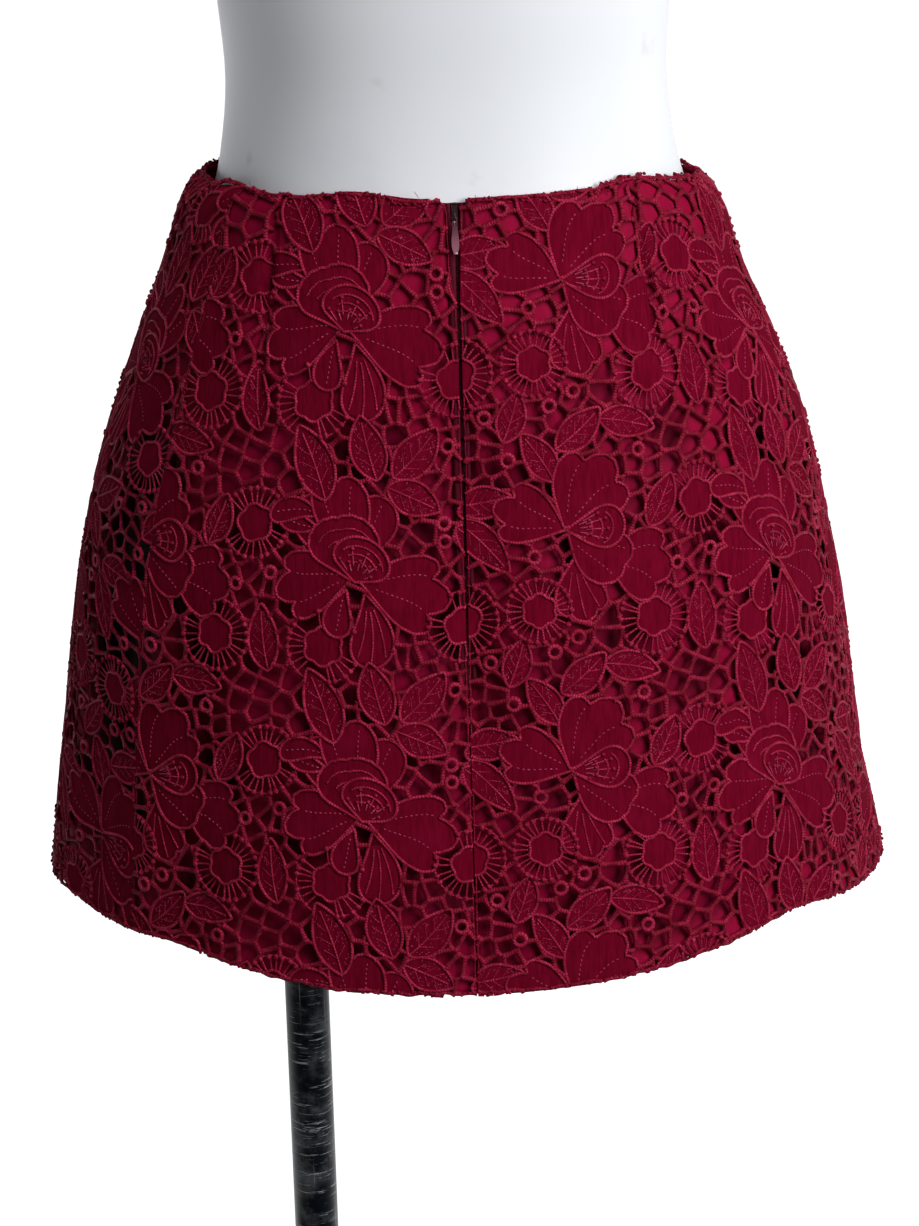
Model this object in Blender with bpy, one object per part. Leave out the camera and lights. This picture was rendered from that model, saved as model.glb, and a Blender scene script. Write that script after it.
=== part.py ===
"""Lace mini skirt with a centre-back zip, worn by a limbless display form on a pole stand.

Metres, +Z up, origin on the floor under the middle. The skirt's back, with the zip, faces -Y.
Every skirt piece is a wall laid on one surface, skirt_surface, which is walked by a share of
the skirt's length (0 at the waist edge, 1 at the hem) and an angle round it (0 at +X, 90 at +Y).
"""

import math
from collections import namedtuple

import bmesh
import bpy
import numpy as np
from mathutils import Matrix, Vector

for leftover in list(bpy.data.objects):
    bpy.data.objects.remove(leftover, do_unlink=True)

MM = 0.001

# ---------------------------------------------------------------- driving dimensions
HEM_HEIGHT = 0.345  # centre-back hem above the floor
SKIRT_LENGTH = 0.394  # waist edge to hem at the centre back, straight down
WAIST_TILT = 25 * MM  # how much lower the waist edge lies at the front than at the back
HEM_SIDE_RISE = 22 * MM  # how much higher the hem would lie at the sides, before its corners droop
HEM_CORNER_DROOP = 0.5  # the part of that rise which the weight of the side seams takes back
FORM_ROUNDNESS = 2.2  # 2 is an ellipse, more is squarer
WAIST_HEIGHT = HEM_HEIGHT + SKIRT_LENGTH

SEAM_GAP = 0.3 * MM
LACE_THICKNESS = 1.2 * MM
LINING_THICKNESS = 1.0 * MM

CENTRE_BACK = 270.0
LEFT_SEAM = 216.0
RIGHT_SEAM = 346.0

ZIP_LENGTH = 0.220
TAPE_EDGE = 12.0 * MM  # from the centre back to a tape's sewn edge
COIL_EDGE = 2.1 * MM  # from the centre back to a coil's outer edge
ZIP_END = ZIP_LENGTH / SKIRT_LENGTH
TAPE_END = ZIP_END + 15 * MM / SKIRT_LENGTH

POLE_X = -0.0885
POLE_RADIUS = 12 * MM

# ---------------------------------------------------------------- tables
Section = namedtuple("Section", "at half_width half_depth roundness")

# The lace's outer face, by the drop below the waist edge. A roundness of 2 is an ellipse, more is squarer.
SKIRT_SECTIONS = (
    Section(0.000, 0.1225, 0.0975, 2.20),
    Section(0.006, 0.1300, 0.0990, 2.20),
    Section(0.016, 0.1355, 0.1014, 2.20),
    Section(0.040, 0.1430, 0.1080, 2.18),
    Section(0.087, 0.1600, 0.1200, 2.16),
    Section(0.158, 0.1840, 0.1360, 2.12),
    Section(0.236, 0.2005, 0.1485, 2.08),
    Section(0.315, 0.2095, 0.1595, 2.04),
    Section(0.394, 0.2175, 0.1685, 2.00),
)

FormSection = namedtuple("FormSection", "at half_width half_depth tilt")

# The form's outer face, by the height above the skirt's back waist edge. The waist leans with
# the skirt's: tilt is the part of that slope which a section follows.
FORM_SECTIONS = (
    FormSection(-0.262, 0.1540, 0.1180, 0.0),
    FormSection(-0.236, 0.1590, 0.1215, 0.1),
    FormSection(-0.158, 0.1595, 0.1220, 0.5),
    FormSection(-0.087, 0.1450, 0.1120, 0.9),
    FormSection(-0.040, 0.1285, 0.1022, 1.0),
    FormSection(-0.016, 0.1205, 0.0972, 1.0),
    FormSection(0.000, 0.1160, 0.0938, 1.0),
    FormSection(0.012, 0.1138, 0.0925, 1.0),
    FormSection(0.043, 0.1102, 0.0912, 0.9),
    FormSection(0.090, 0.1130, 0.0935, 0.5),
    FormSection(0.135, 0.1165, 0.0965, 0.2),
)
FORM_CAP_HEIGHT = 0.032
FORM_WALL = 4 * MM

Fold = namedtuple("Fold", "angle reach height top bottom")

# Soft folds: where round the skirt, how far each side, how far out, and the shares between which it lives.
FOLDS = (
    Fold(CENTRE_BACK, 10, -3.0 * MM, 0.12, 1.10),
    Fold(250, 12, 1.6 * MM, 0.25, 1.30),
    Fold(292, 13, 1.8 * MM, 0.30, 1.30),
    Fold(228, 11, -2.0 * MM, 0.45, 1.40),
    Fold(318, 14, -1.6 * MM, 0.40, 1.40),
    Fold(196, 12, 1.8 * MM, 0.50, 1.40),
    Fold(40, 16, -2.2 * MM, 0.45, 1.40),
    Fold(78, 15, 2.0 * MM, 0.40, 1.35),
    Fold(118, 17, -1.8 * MM, 0.50, 1.40),
    Fold(150, 14, 1.8 * MM, 0.55, 1.40),
    Fold(352, 20, 3.5 * MM, 0.70, 1.45),
    Fold(188, 20, 4.5 * MM, 0.62, 1.45),
    Fold(356, 14, 4.0 * MM, 0.86, 1.20),
    Fold(8, 50, 3.0 * MM, -0.16, 0.16),
    Fold(352, 24, 4.5 * MM, 0.00, 0.52),
    Fold(271, 4.5, -2.4 * MM, 0.08, 1.00),
)

# The waist and hem edges aren't quite level: each row raises one place by its own slack.
Wave = namedtuple("Wave", "angle reach rise")
WAIST_WAVES = (
    Wave(211, 12, 3.0 * MM), Wave(249, 15, 3.5 * MM), Wave(313, 14, 3.0 * MM), Wave(8, 50, -9.0 * MM),
)
HEM_WAVES = (Wave(343, 26, -14.0 * MM), Wave(210, 16, -5.0 * MM))

# Darts: a narrow stitched crease from just below the waist edge.
DART_LEFT = 232.0
DART_RIGHT = 308.0
DART_REACH = 2.2
DARTS = (
    Fold(DART_LEFT, DART_REACH, -0.9 * MM, -0.20, 0.27),
    Fold(DART_RIGHT, DART_REACH, -0.9 * MM, -0.20, 0.25),
)

Opening = namedtuple("Opening", "at half_gap")

# Half the slit between the two lace backs: a notch for the slider, the zip, then the sewn seam.
LACE_SLIT = (
    Opening(0.000, 4.2 * MM),
    Opening(0.012, 3.2 * MM),
    Opening(0.032, 2.8 * MM),
    Opening(0.055, 1.0 * MM),
    Opening(0.100, 0.7 * MM),
    Opening(ZIP_END - 0.02, 0.5 * MM),
    Opening(ZIP_END + 0.02, SEAM_GAP / 2),
    Opening(1.000, SEAM_GAP / 2),
)

# Half the gap between the two lining backs: both tapes, then the sewn seam.
LINING_SLIT = (
    Opening(0.000, TAPE_EDGE + SEAM_GAP),
    Opening(TAPE_END + 0.004, TAPE_EDGE + SEAM_GAP),
    Opening(TAPE_END + 0.050, SEAM_GAP / 2),
    Opening(1.000, SEAM_GAP / 2),
)

# Rows that every wall has in common, so that stacked walls stay parallel.
WAIST_ROWS = (0.008, 0.020, 0.045)
BODY_ROWS = (0.10, 0.18, 0.28, 0.38, 0.48, 0.58)
TAPE_ROWS = WAIST_ROWS + BODY_ROWS + (TAPE_END,)
LOWER_ROWS = (TAPE_END + 0.004, TAPE_END + 0.050, 0.74, 0.84, 0.93)
LACE_ROWS = (0.0,) + WAIST_ROWS + BODY_ROWS + (0.66, 0.74, 0.84, 0.93, 1.0)
LINING_ROWS = WAIST_ROWS + BODY_ROWS + LOWER_ROWS + (1.0 - 4 * MM / SKIRT_LENGTH,)


# ---------------------------------------------------------------- curves and surfaces
def along(rows, column, where):
    """A column's value at a place between the rows, on a smooth curve through them."""
    knots = np.array([row.at for row in rows])
    values = np.array([getattr(row, column) for row in rows])
    slopes = np.gradient(values, knots)
    where = min(max(where, knots[0]), knots[-1])
    i = min(int(np.searchsorted(knots, where, side="right")) - 1, len(knots) - 2)
    span = knots[i + 1] - knots[i]
    t = (where - knots[i]) / span
    return float(
        values[i] * (1 + 2 * t) * (1 - t) ** 2
        + slopes[i] * span * t * (1 - t) ** 2
        + values[i + 1] * t * t * (3 - 2 * t)
        + slopes[i + 1] * span * t * t * (t - 1)
    )


def straight(rows, column, where):
    """A column's value at a place between the rows, on straight lines."""
    return float(np.interp(where, [row.at for row in rows], [getattr(row, column) for row in rows]))


def bump(distance):
    """1 at 0, falling smoothly to 0 at 1 and beyond."""
    return (1 - min(abs(distance), 1.0) ** 2) ** 2


def oval(half_width, half_depth, roundness, angle):
    """A point of the horizontal section: a squared ellipse."""
    c, s = math.cos(math.radians(angle)), math.sin(math.radians(angle))
    power = 2 / roundness
    return (
        half_width * math.copysign(abs(c) ** power, c),
        half_depth * math.copysign(abs(s) ** power, s),
    )


def fold_height(share, angle):
    """How far the folds and darts push the cloth out at this place."""
    height = 0.0
    for fold in FOLDS + DARTS:
        turn = (angle - fold.angle + 180) % 360 - 180
        middle, half = (fold.top + fold.bottom) / 2, (fold.bottom - fold.top) / 2
        height += fold.height * bump(turn / fold.reach) * bump((share - middle) / half)
    return height


def waist_tilt(angle):
    """How far the waist edge lies below its height at the centre back."""
    return WAIST_TILT * ((1 + math.sin(math.radians(angle))) / 2) ** 1.6


def edge_wave(waves, angle):
    """How far the waist or hem edge is raised by its own slack at this angle."""
    return sum(wave.rise * bump(((angle - wave.angle + 180) % 360 - 180) / wave.reach) for wave in waves)


def skirt_surface(share, angle):
    """A point of the lace's outer face."""
    top = WAIST_HEIGHT - waist_tilt(angle) + edge_wave(WAIST_WAVES, angle)
    side = math.cos(math.radians(angle)) ** 2
    hem = HEM_HEIGHT + HEM_SIDE_RISE * (side - HEM_CORNER_DROOP * side**6) + edge_wave(HEM_WAVES, angle)
    out = fold_height(share, angle)
    drop = share * SKIRT_LENGTH
    x, y = oval(
        along(SKIRT_SECTIONS, "half_width", drop) + out,
        along(SKIRT_SECTIONS, "half_depth", drop) + out,
        along(SKIRT_SECTIONS, "roundness", drop),
        angle,
    )
    return Vector((x, y, top + (hem - top) * share))


def under_skirt(share, angle, inward):
    """A point that lies this far inside the lace's outer face, square to it."""
    step_share, step_angle = 0.004, 0.4
    low, high = max(share - step_share, 0.0), min(share + step_share, 1.0)
    down = skirt_surface(high, angle) - skirt_surface(low, angle)
    round_it = skirt_surface(share, angle + step_angle) - skirt_surface(share, angle - step_angle)
    return skirt_surface(share, angle) - round_it.cross(-down).normalized() * inward


def beside(centre, share, distance):
    """The angle at this distance along the cloth from a centre angle; negative is towards -X at the back."""
    step = 0.5
    ahead, behind = skirt_surface(share, centre + step), skirt_surface(share, centre - step)
    return centre + distance * 2 * step / (ahead - behind).length


def lining_depth(share, angle):
    """How far the lining's outer face lies inside the lace's: close at the waist, free at the sides."""
    side = abs(math.cos(math.radians(angle))) ** 3
    fall = min(share / 0.35, 1.0) ** 1.5
    return LACE_THICKNESS + 0.5 * MM + 2.0 * MM * fall + 7.0 * MM * side * fall


# ---------------------------------------------------------------- materials and meshes
def finish(name, colour, roughness, metallic=0.0):
    material = bpy.data.materials.new(name)
    material.use_nodes = True
    shader = material.node_tree.nodes["Principled BSDF"]
    shader.inputs["Base Color"].default_value = (*colour, 1.0)
    shader.inputs["Roughness"].default_value = roughness
    shader.inputs["Metallic"].default_value = metallic
    return material


def add_object(name, points, faces, material, smooth_degrees=35):
    mesh = bpy.data.meshes.new(name)
    mesh.from_pydata([tuple(point) for point in points], [], faces)
    solid = bmesh.new()
    solid.from_mesh(mesh)
    bmesh.ops.recalc_face_normals(solid, faces=solid.faces)
    solid.to_mesh(mesh)
    solid.free()
    mesh.materials.append(material)
    mesh.shade_smooth()
    mesh.set_sharp_from_angle(angle=math.radians(smooth_degrees))
    obj = bpy.data.objects.new(name, mesh)
    bpy.context.scene.collection.objects.link(obj)
    return obj


def cloth_wall(name, rows, first_edge, last_edge, columns, depth, thickness, material):
    """A closed wall of cloth between two edges, each an angle that depends on the share.

    columns holds fractions of the way from the first edge to the last, and depth says how far
    the wall's outer face lies inside the lace's outer face.
    """
    outer, inner = [], []
    for share in rows:
        start, end = first_edge(share), last_edge(share)
        for fraction in columns:
            angle = start + (end - start) * fraction
            outer.append(under_skirt(share, angle, depth(share, angle)))
            inner.append(under_skirt(share, angle, depth(share, angle) + thickness))
    wide, high = len(columns), len(rows)
    back = len(outer)
    faces = []
    for i in range(high - 1):
        for j in range(wide - 1):
            a, b = i * wide + j, i * wide + j + 1
            c, d = b + wide, a + wide
            faces.append((a, b, c, d))
            faces.append((back + a, back + d, back + c, back + b))
    border = list(range(wide))
    border += [i * wide + wide - 1 for i in range(1, high)]
    border += [(high - 1) * wide + j for j in range(wide - 2, -1, -1)]
    border += [i * wide for i in range(high - 2, 0, -1)]
    for here, there in zip(border, border[1:] + border[:1]):
        faces.append((here, back + here, back + there, there))
    return add_object(name, outer + inner, faces, material)


def ring(half_width, half_depth, height, count, tilt=0.0):
    """Points round a horizontal section, or round one that leans with the waist edge."""
    angles = [360 * i / count for i in range(count)]
    return [
        Vector((*oval(half_width, half_depth, FORM_ROUNDNESS, angle), height - tilt * waist_tilt(angle)))
        for angle in angles
    ]


def skin(rings, count, closed_top=None):
    """Faces between successive rings of one count, and a fan to a closing point."""
    faces = []
    for row in range(rings - 1):
        for i in range(count):
            j = (i + 1) % count
            faces.append((row * count + i, row * count + j, (row + 1) * count + j, (row + 1) * count + i))
    if closed_top is not None:
        last = (rings - 1) * count
        faces += [(last + i, last + (i + 1) % count, closed_top) for i in range(count)]
    return faces


def turned(name, profile, centre_x, sides, material):
    """A solid turned about a vertical axis from (radius, height) points; a radius of 0 lies on the axis."""
    points, rows = [], []
    for radius, height in profile:
        if radius == 0:
            rows.append([len(points)] * sides)
            points.append(Vector((centre_x, 0, height)))
            continue
        rows.append(list(range(len(points), len(points) + sides)))
        for i in range(sides):
            turn = 2 * math.pi * i / sides
            points.append(Vector((centre_x + radius * math.cos(turn), radius * math.sin(turn), height)))
    faces = []
    closing = rows[1:] + rows[:1] if profile[0][0] else rows[1:]
    for low, high in zip(rows, closing):
        for i in range(sides):
            j = (i + 1) % sides
            corners = [low[i], low[j], high[j], high[i]]
            faces.append(tuple(dict.fromkeys(corners)))
    return add_object(name, points, faces, material)


def helper(obj):
    """Keeps a cutter or an added shape out of the model."""
    obj.hide_render = True
    obj.display_type = "WIRE"
    return obj


def boolean(target, other, operation):
    modifier = target.modifiers.new(other.name, "BOOLEAN")
    modifier.operation = operation
    modifier.object = helper(other)


# ---------------------------------------------------------------- lace
lace_cloth = finish("lace_cloth", (0.16, 0.008, 0.022), 0.85)

FRONT_COLUMNS = np.linspace(0, 1, 37)


def dart_columns(start, dart, end, count):
    """Even columns across a back panel, and three more at its dart."""
    even = np.linspace(0, 1, count)
    at = (dart - start) / (end - start)
    reach = DART_REACH / abs(end - start)
    extra = [at - reach, at, at + reach]
    kept = [fraction for fraction in even if abs(fraction - at) > reach * 1.4]
    return sorted(kept + extra)


LEFT_COLUMNS = dart_columns(LEFT_SEAM, DART_LEFT, CENTRE_BACK, 11)
RIGHT_COLUMNS = dart_columns(CENTRE_BACK, DART_RIGHT, RIGHT_SEAM, 14)


def seam_edge(angle, side):
    return lambda share: beside(angle, share, side * SEAM_GAP / 2)


def slit_edge(table, side):
    return lambda share: beside(CENTRE_BACK, share, side * straight(table, "half_gap", share))


def lace_depth(share, angle):
    return 0.0


cloth_wall(
    "lace_front", LACE_ROWS, seam_edge(RIGHT_SEAM - 360, 1), seam_edge(LEFT_SEAM, -1),
    FRONT_COLUMNS, lace_depth, LACE_THICKNESS, lace_cloth,
)
cloth_wall(
    "lace_back_left", LACE_ROWS, seam_edge(LEFT_SEAM, 1), slit_edge(LACE_SLIT, -1),
    LEFT_COLUMNS, lace_depth, LACE_THICKNESS, lace_cloth,
)
cloth_wall(
    "lace_back_right", LACE_ROWS, slit_edge(LACE_SLIT, 1), seam_edge(RIGHT_SEAM, -1),
    RIGHT_COLUMNS, lace_depth, LACE_THICKNESS, lace_cloth,
)

# ---------------------------------------------------------------- lining
lining_cloth = finish("lining_cloth", (0.27, 0.006, 0.035), 0.6)

cloth_wall(
    "lining_front", LINING_ROWS, seam_edge(RIGHT_SEAM - 360, 1), seam_edge(LEFT_SEAM, -1),
    FRONT_COLUMNS, lining_depth, LINING_THICKNESS, lining_cloth,
)
cloth_wall(
    "lining_back_left", LINING_ROWS, seam_edge(LEFT_SEAM, 1), slit_edge(LINING_SLIT, -1),
    LEFT_COLUMNS, lining_depth, LINING_THICKNESS, lining_cloth,
)
cloth_wall(
    "lining_back_right", LINING_ROWS, slit_edge(LINING_SLIT, 1), seam_edge(RIGHT_SEAM, -1),
    RIGHT_COLUMNS, lining_depth, LINING_THICKNESS, lining_cloth,
)

# ---------------------------------------------------------------- zip tapes and coils
tape_cloth = finish("zip_tape_cloth", (0.12, 0.012, 0.03), 0.75)
coil_nylon = finish("zip_coil_nylon", (0.10, 0.012, 0.025), 0.45)

SLIDER_TOP = 2.0 * MM  # along the cloth, below the waist edge
SLIDER_LENGTH = 9.0 * MM
COIL_ROWS = (
    ((SLIDER_TOP + SLIDER_LENGTH + 2 * SEAM_GAP) / SKIRT_LENGTH, 0.045) + BODY_ROWS[:-1] + (ZIP_END,)
)


def zip_edge(distance):
    return lambda share: beside(CENTRE_BACK, share, distance)


for side_name, side in (("left", -1), ("right", 1)):
    near_tape, far_tape = side * (COIL_EDGE + SEAM_GAP), side * TAPE_EDGE
    cloth_wall(
        f"zip_tape_{side_name}", TAPE_ROWS, zip_edge(near_tape), zip_edge(far_tape),
        (0.0, 0.5, 1.0), lining_depth, LINING_THICKNESS, tape_cloth,
    )
    cloth_wall(
        f"zip_coil_{side_name}", COIL_ROWS, zip_edge(side * SEAM_GAP / 2), zip_edge(side * COIL_EDGE),
        (0.0, 1.0), lining_depth, LINING_THICKNESS, coil_nylon,
    )

# ---------------------------------------------------------------- slider and pull tab
slider_metal = finish("zip_slider_enamel", (0.06, 0.008, 0.015), 0.35, 0.3)
tab_metal = finish("zip_pull_enamel", (0.22, 0.06, 0.09), 0.3, 0.3)

# The zip's own frame: +X across, +Y out of the cloth, +Z up along it, with its origin at the waist edge.
zip_top = skirt_surface(0.0, CENTRE_BACK)
zip_down = (skirt_surface(0.075, CENTRE_BACK) - skirt_surface(0.012, CENTRE_BACK)).normalized()
zip_out = zip_down.cross(Vector((1, 0, 0)))
ZIP_PLACE = Matrix.Translation(zip_top) @ Matrix((
    (1, zip_out.x, -zip_down.x, 0),
    (0, zip_out.y, -zip_down.y, 0),
    (0, zip_out.z, -zip_down.z, 0),
    (0, 0, 0, 1),
))

SLIDER_HALF = 2.05 * MM
SLIDER_FACE = 0.3 * MM  # how far the body stands out of the lace
SLIDER_BACK = LACE_THICKNESS + 0.5 * MM + LINING_THICKNESS
BRIDGE_HALF = 0.5 * MM
BRIDGE_TOP = 2.6 * MM
BRIDGE_WALL = 0.65 * MM
BRIDGE_START = 6.2 * MM  # below the waist edge
BRIDGE_END = SLIDER_TOP + SLIDER_LENGTH - 0.2 * MM
TAB_THICKNESS = 0.8 * MM
PIVOT_OUT = 1.15 * MM
PIVOT_DOWN = BRIDGE_END - BRIDGE_WALL - TAB_THICKNESS / 2 - 0.4 * MM


def box(name, low, high, material):
    """A box between two corners, given in the zip's own frame."""
    corners = [
        ZIP_PLACE @ Vector((x, y, z)) for z in (low[2], high[2]) for y in (low[1], high[1]) for x in (low[0], high[0])
    ]
    faces = [(0, 1, 3, 2), (4, 6, 7, 5), (0, 4, 5, 1), (2, 3, 7, 6), (0, 2, 6, 4), (1, 5, 7, 3)]
    return add_object(name, corners, faces, material)


slider = box(
    "zip_slider",
    (-SLIDER_HALF, -SLIDER_BACK, -SLIDER_TOP - SLIDER_LENGTH),
    (SLIDER_HALF, SLIDER_FACE, -SLIDER_TOP),
    slider_metal,
)
bridge = box(
    "bridge_block",
    (-BRIDGE_HALF, SLIDER_FACE - 0.2 * MM, -BRIDGE_END),
    (BRIDGE_HALF, BRIDGE_TOP, -BRIDGE_START),
    slider_metal,
)
bridge_window = box(
    "bridge_window",
    (-1 * MM, SLIDER_FACE, -BRIDGE_END + BRIDGE_WALL),
    (1 * MM, BRIDGE_TOP - BRIDGE_WALL, -BRIDGE_START - BRIDGE_WALL),
    slider_metal,
)
boolean(bridge, bridge_window, "DIFFERENCE")
boolean(slider, bridge, "UNION")

TabWidth = namedtuple("TabWidth", "at half_width")

# The pull tab's outline, by the distance down from its hinge axis.
TAB_OUTLINE = (
    TabWidth(-0.40 * MM, 1.25 * MM),
    TabWidth(1.20 * MM, 1.55 * MM),
    TabWidth(4.20 * MM, 1.45 * MM),
    TabWidth(8.00 * MM, 1.90 * MM),
    TabWidth(12.0 * MM, 2.25 * MM),
    TabWidth(15.0 * MM, 2.05 * MM),
    TabWidth(17.0 * MM, 1.30 * MM),
    TabWidth(17.8 * MM, 0.45 * MM),
)
TAB_STEPS = 22
tab_down = np.linspace(TAB_OUTLINE[0].at, TAB_OUTLINE[-1].at, TAB_STEPS)
tab_edge = [(along(TAB_OUTLINE, "half_width", at), at) for at in tab_down]
tab_outline = tab_edge + [(-width, at) for width, at in reversed(tab_edge)]
tab_points = [
    ZIP_PLACE @ Vector((x, PIVOT_OUT + face * TAB_THICKNESS / 2, -PIVOT_DOWN - at))
    for face in (-1, 1)
    for x, at in tab_outline
]
round_tab = len(tab_outline)
tab_faces = [tuple(range(round_tab)), tuple(range(2 * round_tab - 1, round_tab - 1, -1))]
tab_faces += [
    (i, round_tab + i, round_tab + (i + 1) % round_tab, (i + 1) % round_tab) for i in range(round_tab)
]
pull_tab = add_object("zip_pull_tab", tab_points, tab_faces, tab_metal)
tab_eye = box(
    "tab_eye",
    (-0.85 * MM, -1 * MM, -PIVOT_DOWN - 3.6 * MM),
    (0.85 * MM, 3 * MM, -PIVOT_DOWN - TAB_THICKNESS / 2),
    tab_metal,
)
boolean(pull_tab, tab_eye, "DIFFERENCE")

# ---------------------------------------------------------------- display form
form_white = finish("form_white", (0.78, 0.79, 0.84), 0.45)
plate_grey = finish("plate_grey", (0.55, 0.56, 0.60), 0.6)

FORM_COUNT = 44
FORM_BOTTOM = WAIST_HEIGHT + FORM_SECTIONS[0].at
FORM_ROWS = (-0.262, -0.236, -0.2, -0.158, -0.12, -0.087, -0.06, -0.04, -0.016, 0.0, 0.012, 0.043, 0.09, 0.135)
CAP_ANGLES = (22, 42, 60, 76)


def form_rings(inset):
    """The form's rings from the bottom up to the last one of its domed cap, moved in by a wall."""
    rings = []
    for at in FORM_ROWS:
        rings.append(ring(
            along(FORM_SECTIONS, "half_width", at) - inset,
            along(FORM_SECTIONS, "half_depth", at) - inset,
            WAIST_HEIGHT + at,
            FORM_COUNT,
            along(FORM_SECTIONS, "tilt", at),
        ))
    last = FORM_SECTIONS[-1]
    for degrees in CAP_ANGLES:
        shrink, lift = math.cos(math.radians(degrees)), math.sin(math.radians(degrees))
        rings.append(ring(
            (last.half_width - inset) * shrink,
            (last.half_depth - inset) * shrink,
            WAIST_HEIGHT + last.at + (FORM_CAP_HEIGHT - inset) * lift,
            FORM_COUNT,
            last.tilt * shrink,
        ))
    return rings


outer_rings = form_rings(0.0)
inner_rings = form_rings(FORM_WALL)
form_points = [point for one in outer_rings for point in one]
outer_top = len(form_points)
form_points.append(Vector((0, 0, WAIST_HEIGHT + FORM_SECTIONS[-1].at + FORM_CAP_HEIGHT)))
inner_start = len(form_points)
form_points += [point for one in inner_rings for point in one]
inner_top = len(form_points) - inner_start
form_points.append(Vector((0, 0, WAIST_HEIGHT + FORM_SECTIONS[-1].at + FORM_CAP_HEIGHT - FORM_WALL)))
form_faces = skin(len(outer_rings), FORM_COUNT, outer_top)
form_faces += [
    tuple(inner_start + corner for corner in reversed(face))
    for face in skin(len(inner_rings), FORM_COUNT, inner_top)
]
form_faces += [
    (i, inner_start + i, inner_start + (i + 1) % FORM_COUNT, (i + 1) % FORM_COUNT) for i in range(FORM_COUNT)
]
add_object("form_shell", form_points, form_faces, form_white)

PLATE_THICKNESS = 6 * MM
PLATE_TOP = FORM_BOTTOM - SEAM_GAP
PLATE_BOTTOM = PLATE_TOP - PLATE_THICKNESS
plate_size = FORM_SECTIONS[0]
plate_points = ring(plate_size.half_width, plate_size.half_depth, PLATE_BOTTOM, FORM_COUNT)
plate_points += ring(plate_size.half_width, plate_size.half_depth, PLATE_TOP, FORM_COUNT)
plate_faces = skin(2, FORM_COUNT) + [
    tuple(reversed(range(FORM_COUNT))), tuple(range(FORM_COUNT, 2 * FORM_COUNT)),
]
add_object("form_bottom_plate", plate_points, plate_faces, plate_grey)

# ---------------------------------------------------------------- stand
pole_black = finish("pole_black", (0.012, 0.014, 0.02), 0.4, 0.2)
socket_steel = finish("socket_steel", (0.05, 0.05, 0.06), 0.45, 0.6)
base_black = finish("base_black", (0.015, 0.016, 0.02), 0.5, 0.2)

RUNNING_GAP = 0.3 * MM
SOCKET_TOP = PLATE_BOTTOM - SEAM_GAP
SOCKET_LENGTH = 45 * MM
BASE_RADIUS = 0.135
BASE_SEAT = 7 * MM  # floor of the base's bore
COLLAR_HEIGHT = 34 * MM
POLE_TOP = SOCKET_TOP - 6 * MM
POLE_WALL = 1.5 * MM

turned(
    "pole_socket",
    (
        (0, SOCKET_TOP),
        (34 * MM, SOCKET_TOP),
        (34 * MM, SOCKET_TOP - 3 * MM),
        (17 * MM, SOCKET_TOP - 5 * MM),
        (15 * MM, SOCKET_TOP - 9 * MM),
        (15 * MM, SOCKET_TOP - SOCKET_LENGTH),
        (POLE_RADIUS + RUNNING_GAP, SOCKET_TOP - SOCKET_LENGTH),
        (POLE_RADIUS + RUNNING_GAP, POLE_TOP + RUNNING_GAP),
        (0, POLE_TOP + RUNNING_GAP),
    ),
    POLE_X, 32, socket_steel,
)
turned(
    "stand_pole",
    (
        (POLE_RADIUS, BASE_SEAT + RUNNING_GAP),
        (POLE_RADIUS, POLE_TOP),
        (POLE_RADIUS - POLE_WALL, POLE_TOP),
        (POLE_RADIUS - POLE_WALL, BASE_SEAT + RUNNING_GAP),
    ),
    POLE_X, 32, pole_black,
)
turned(
    "stand_base",
    (
        (0, 0),
        (BASE_RADIUS - 1 * MM, 0),
        (BASE_RADIUS, 1 * MM),
        (BASE_RADIUS, 4 * MM),
        (BASE_RADIUS - 3 * MM, 7 * MM),
        (26 * MM, 10 * MM),
        (19 * MM, 13 * MM),
        (17 * MM, COLLAR_HEIGHT - 2 * MM),
        (15 * MM, COLLAR_HEIGHT),
        (POLE_RADIUS + RUNNING_GAP, COLLAR_HEIGHT),
        (POLE_RADIUS + RUNNING_GAP, BASE_SEAT),
        (0, BASE_SEAT),
    ),
    POLE_X, 48, base_black,
)
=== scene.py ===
"""Looks of a wine-red lace mini skirt with a centre-back zip, on a limbless display form and its pole stand.

Metres, +Z up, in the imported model's frame. The skirt's back, with the zip, faces -Y. Angles round the skirt are
in degrees, 270 at the centre back. Small sizes are given in millimetres, as numbers times MM.
"""

import math
from collections import namedtuple

import bmesh
import bpy
import numpy as np
from mathutils import Matrix, Vector
from mathutils.geometry import delaunay_2d_cdt


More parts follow.
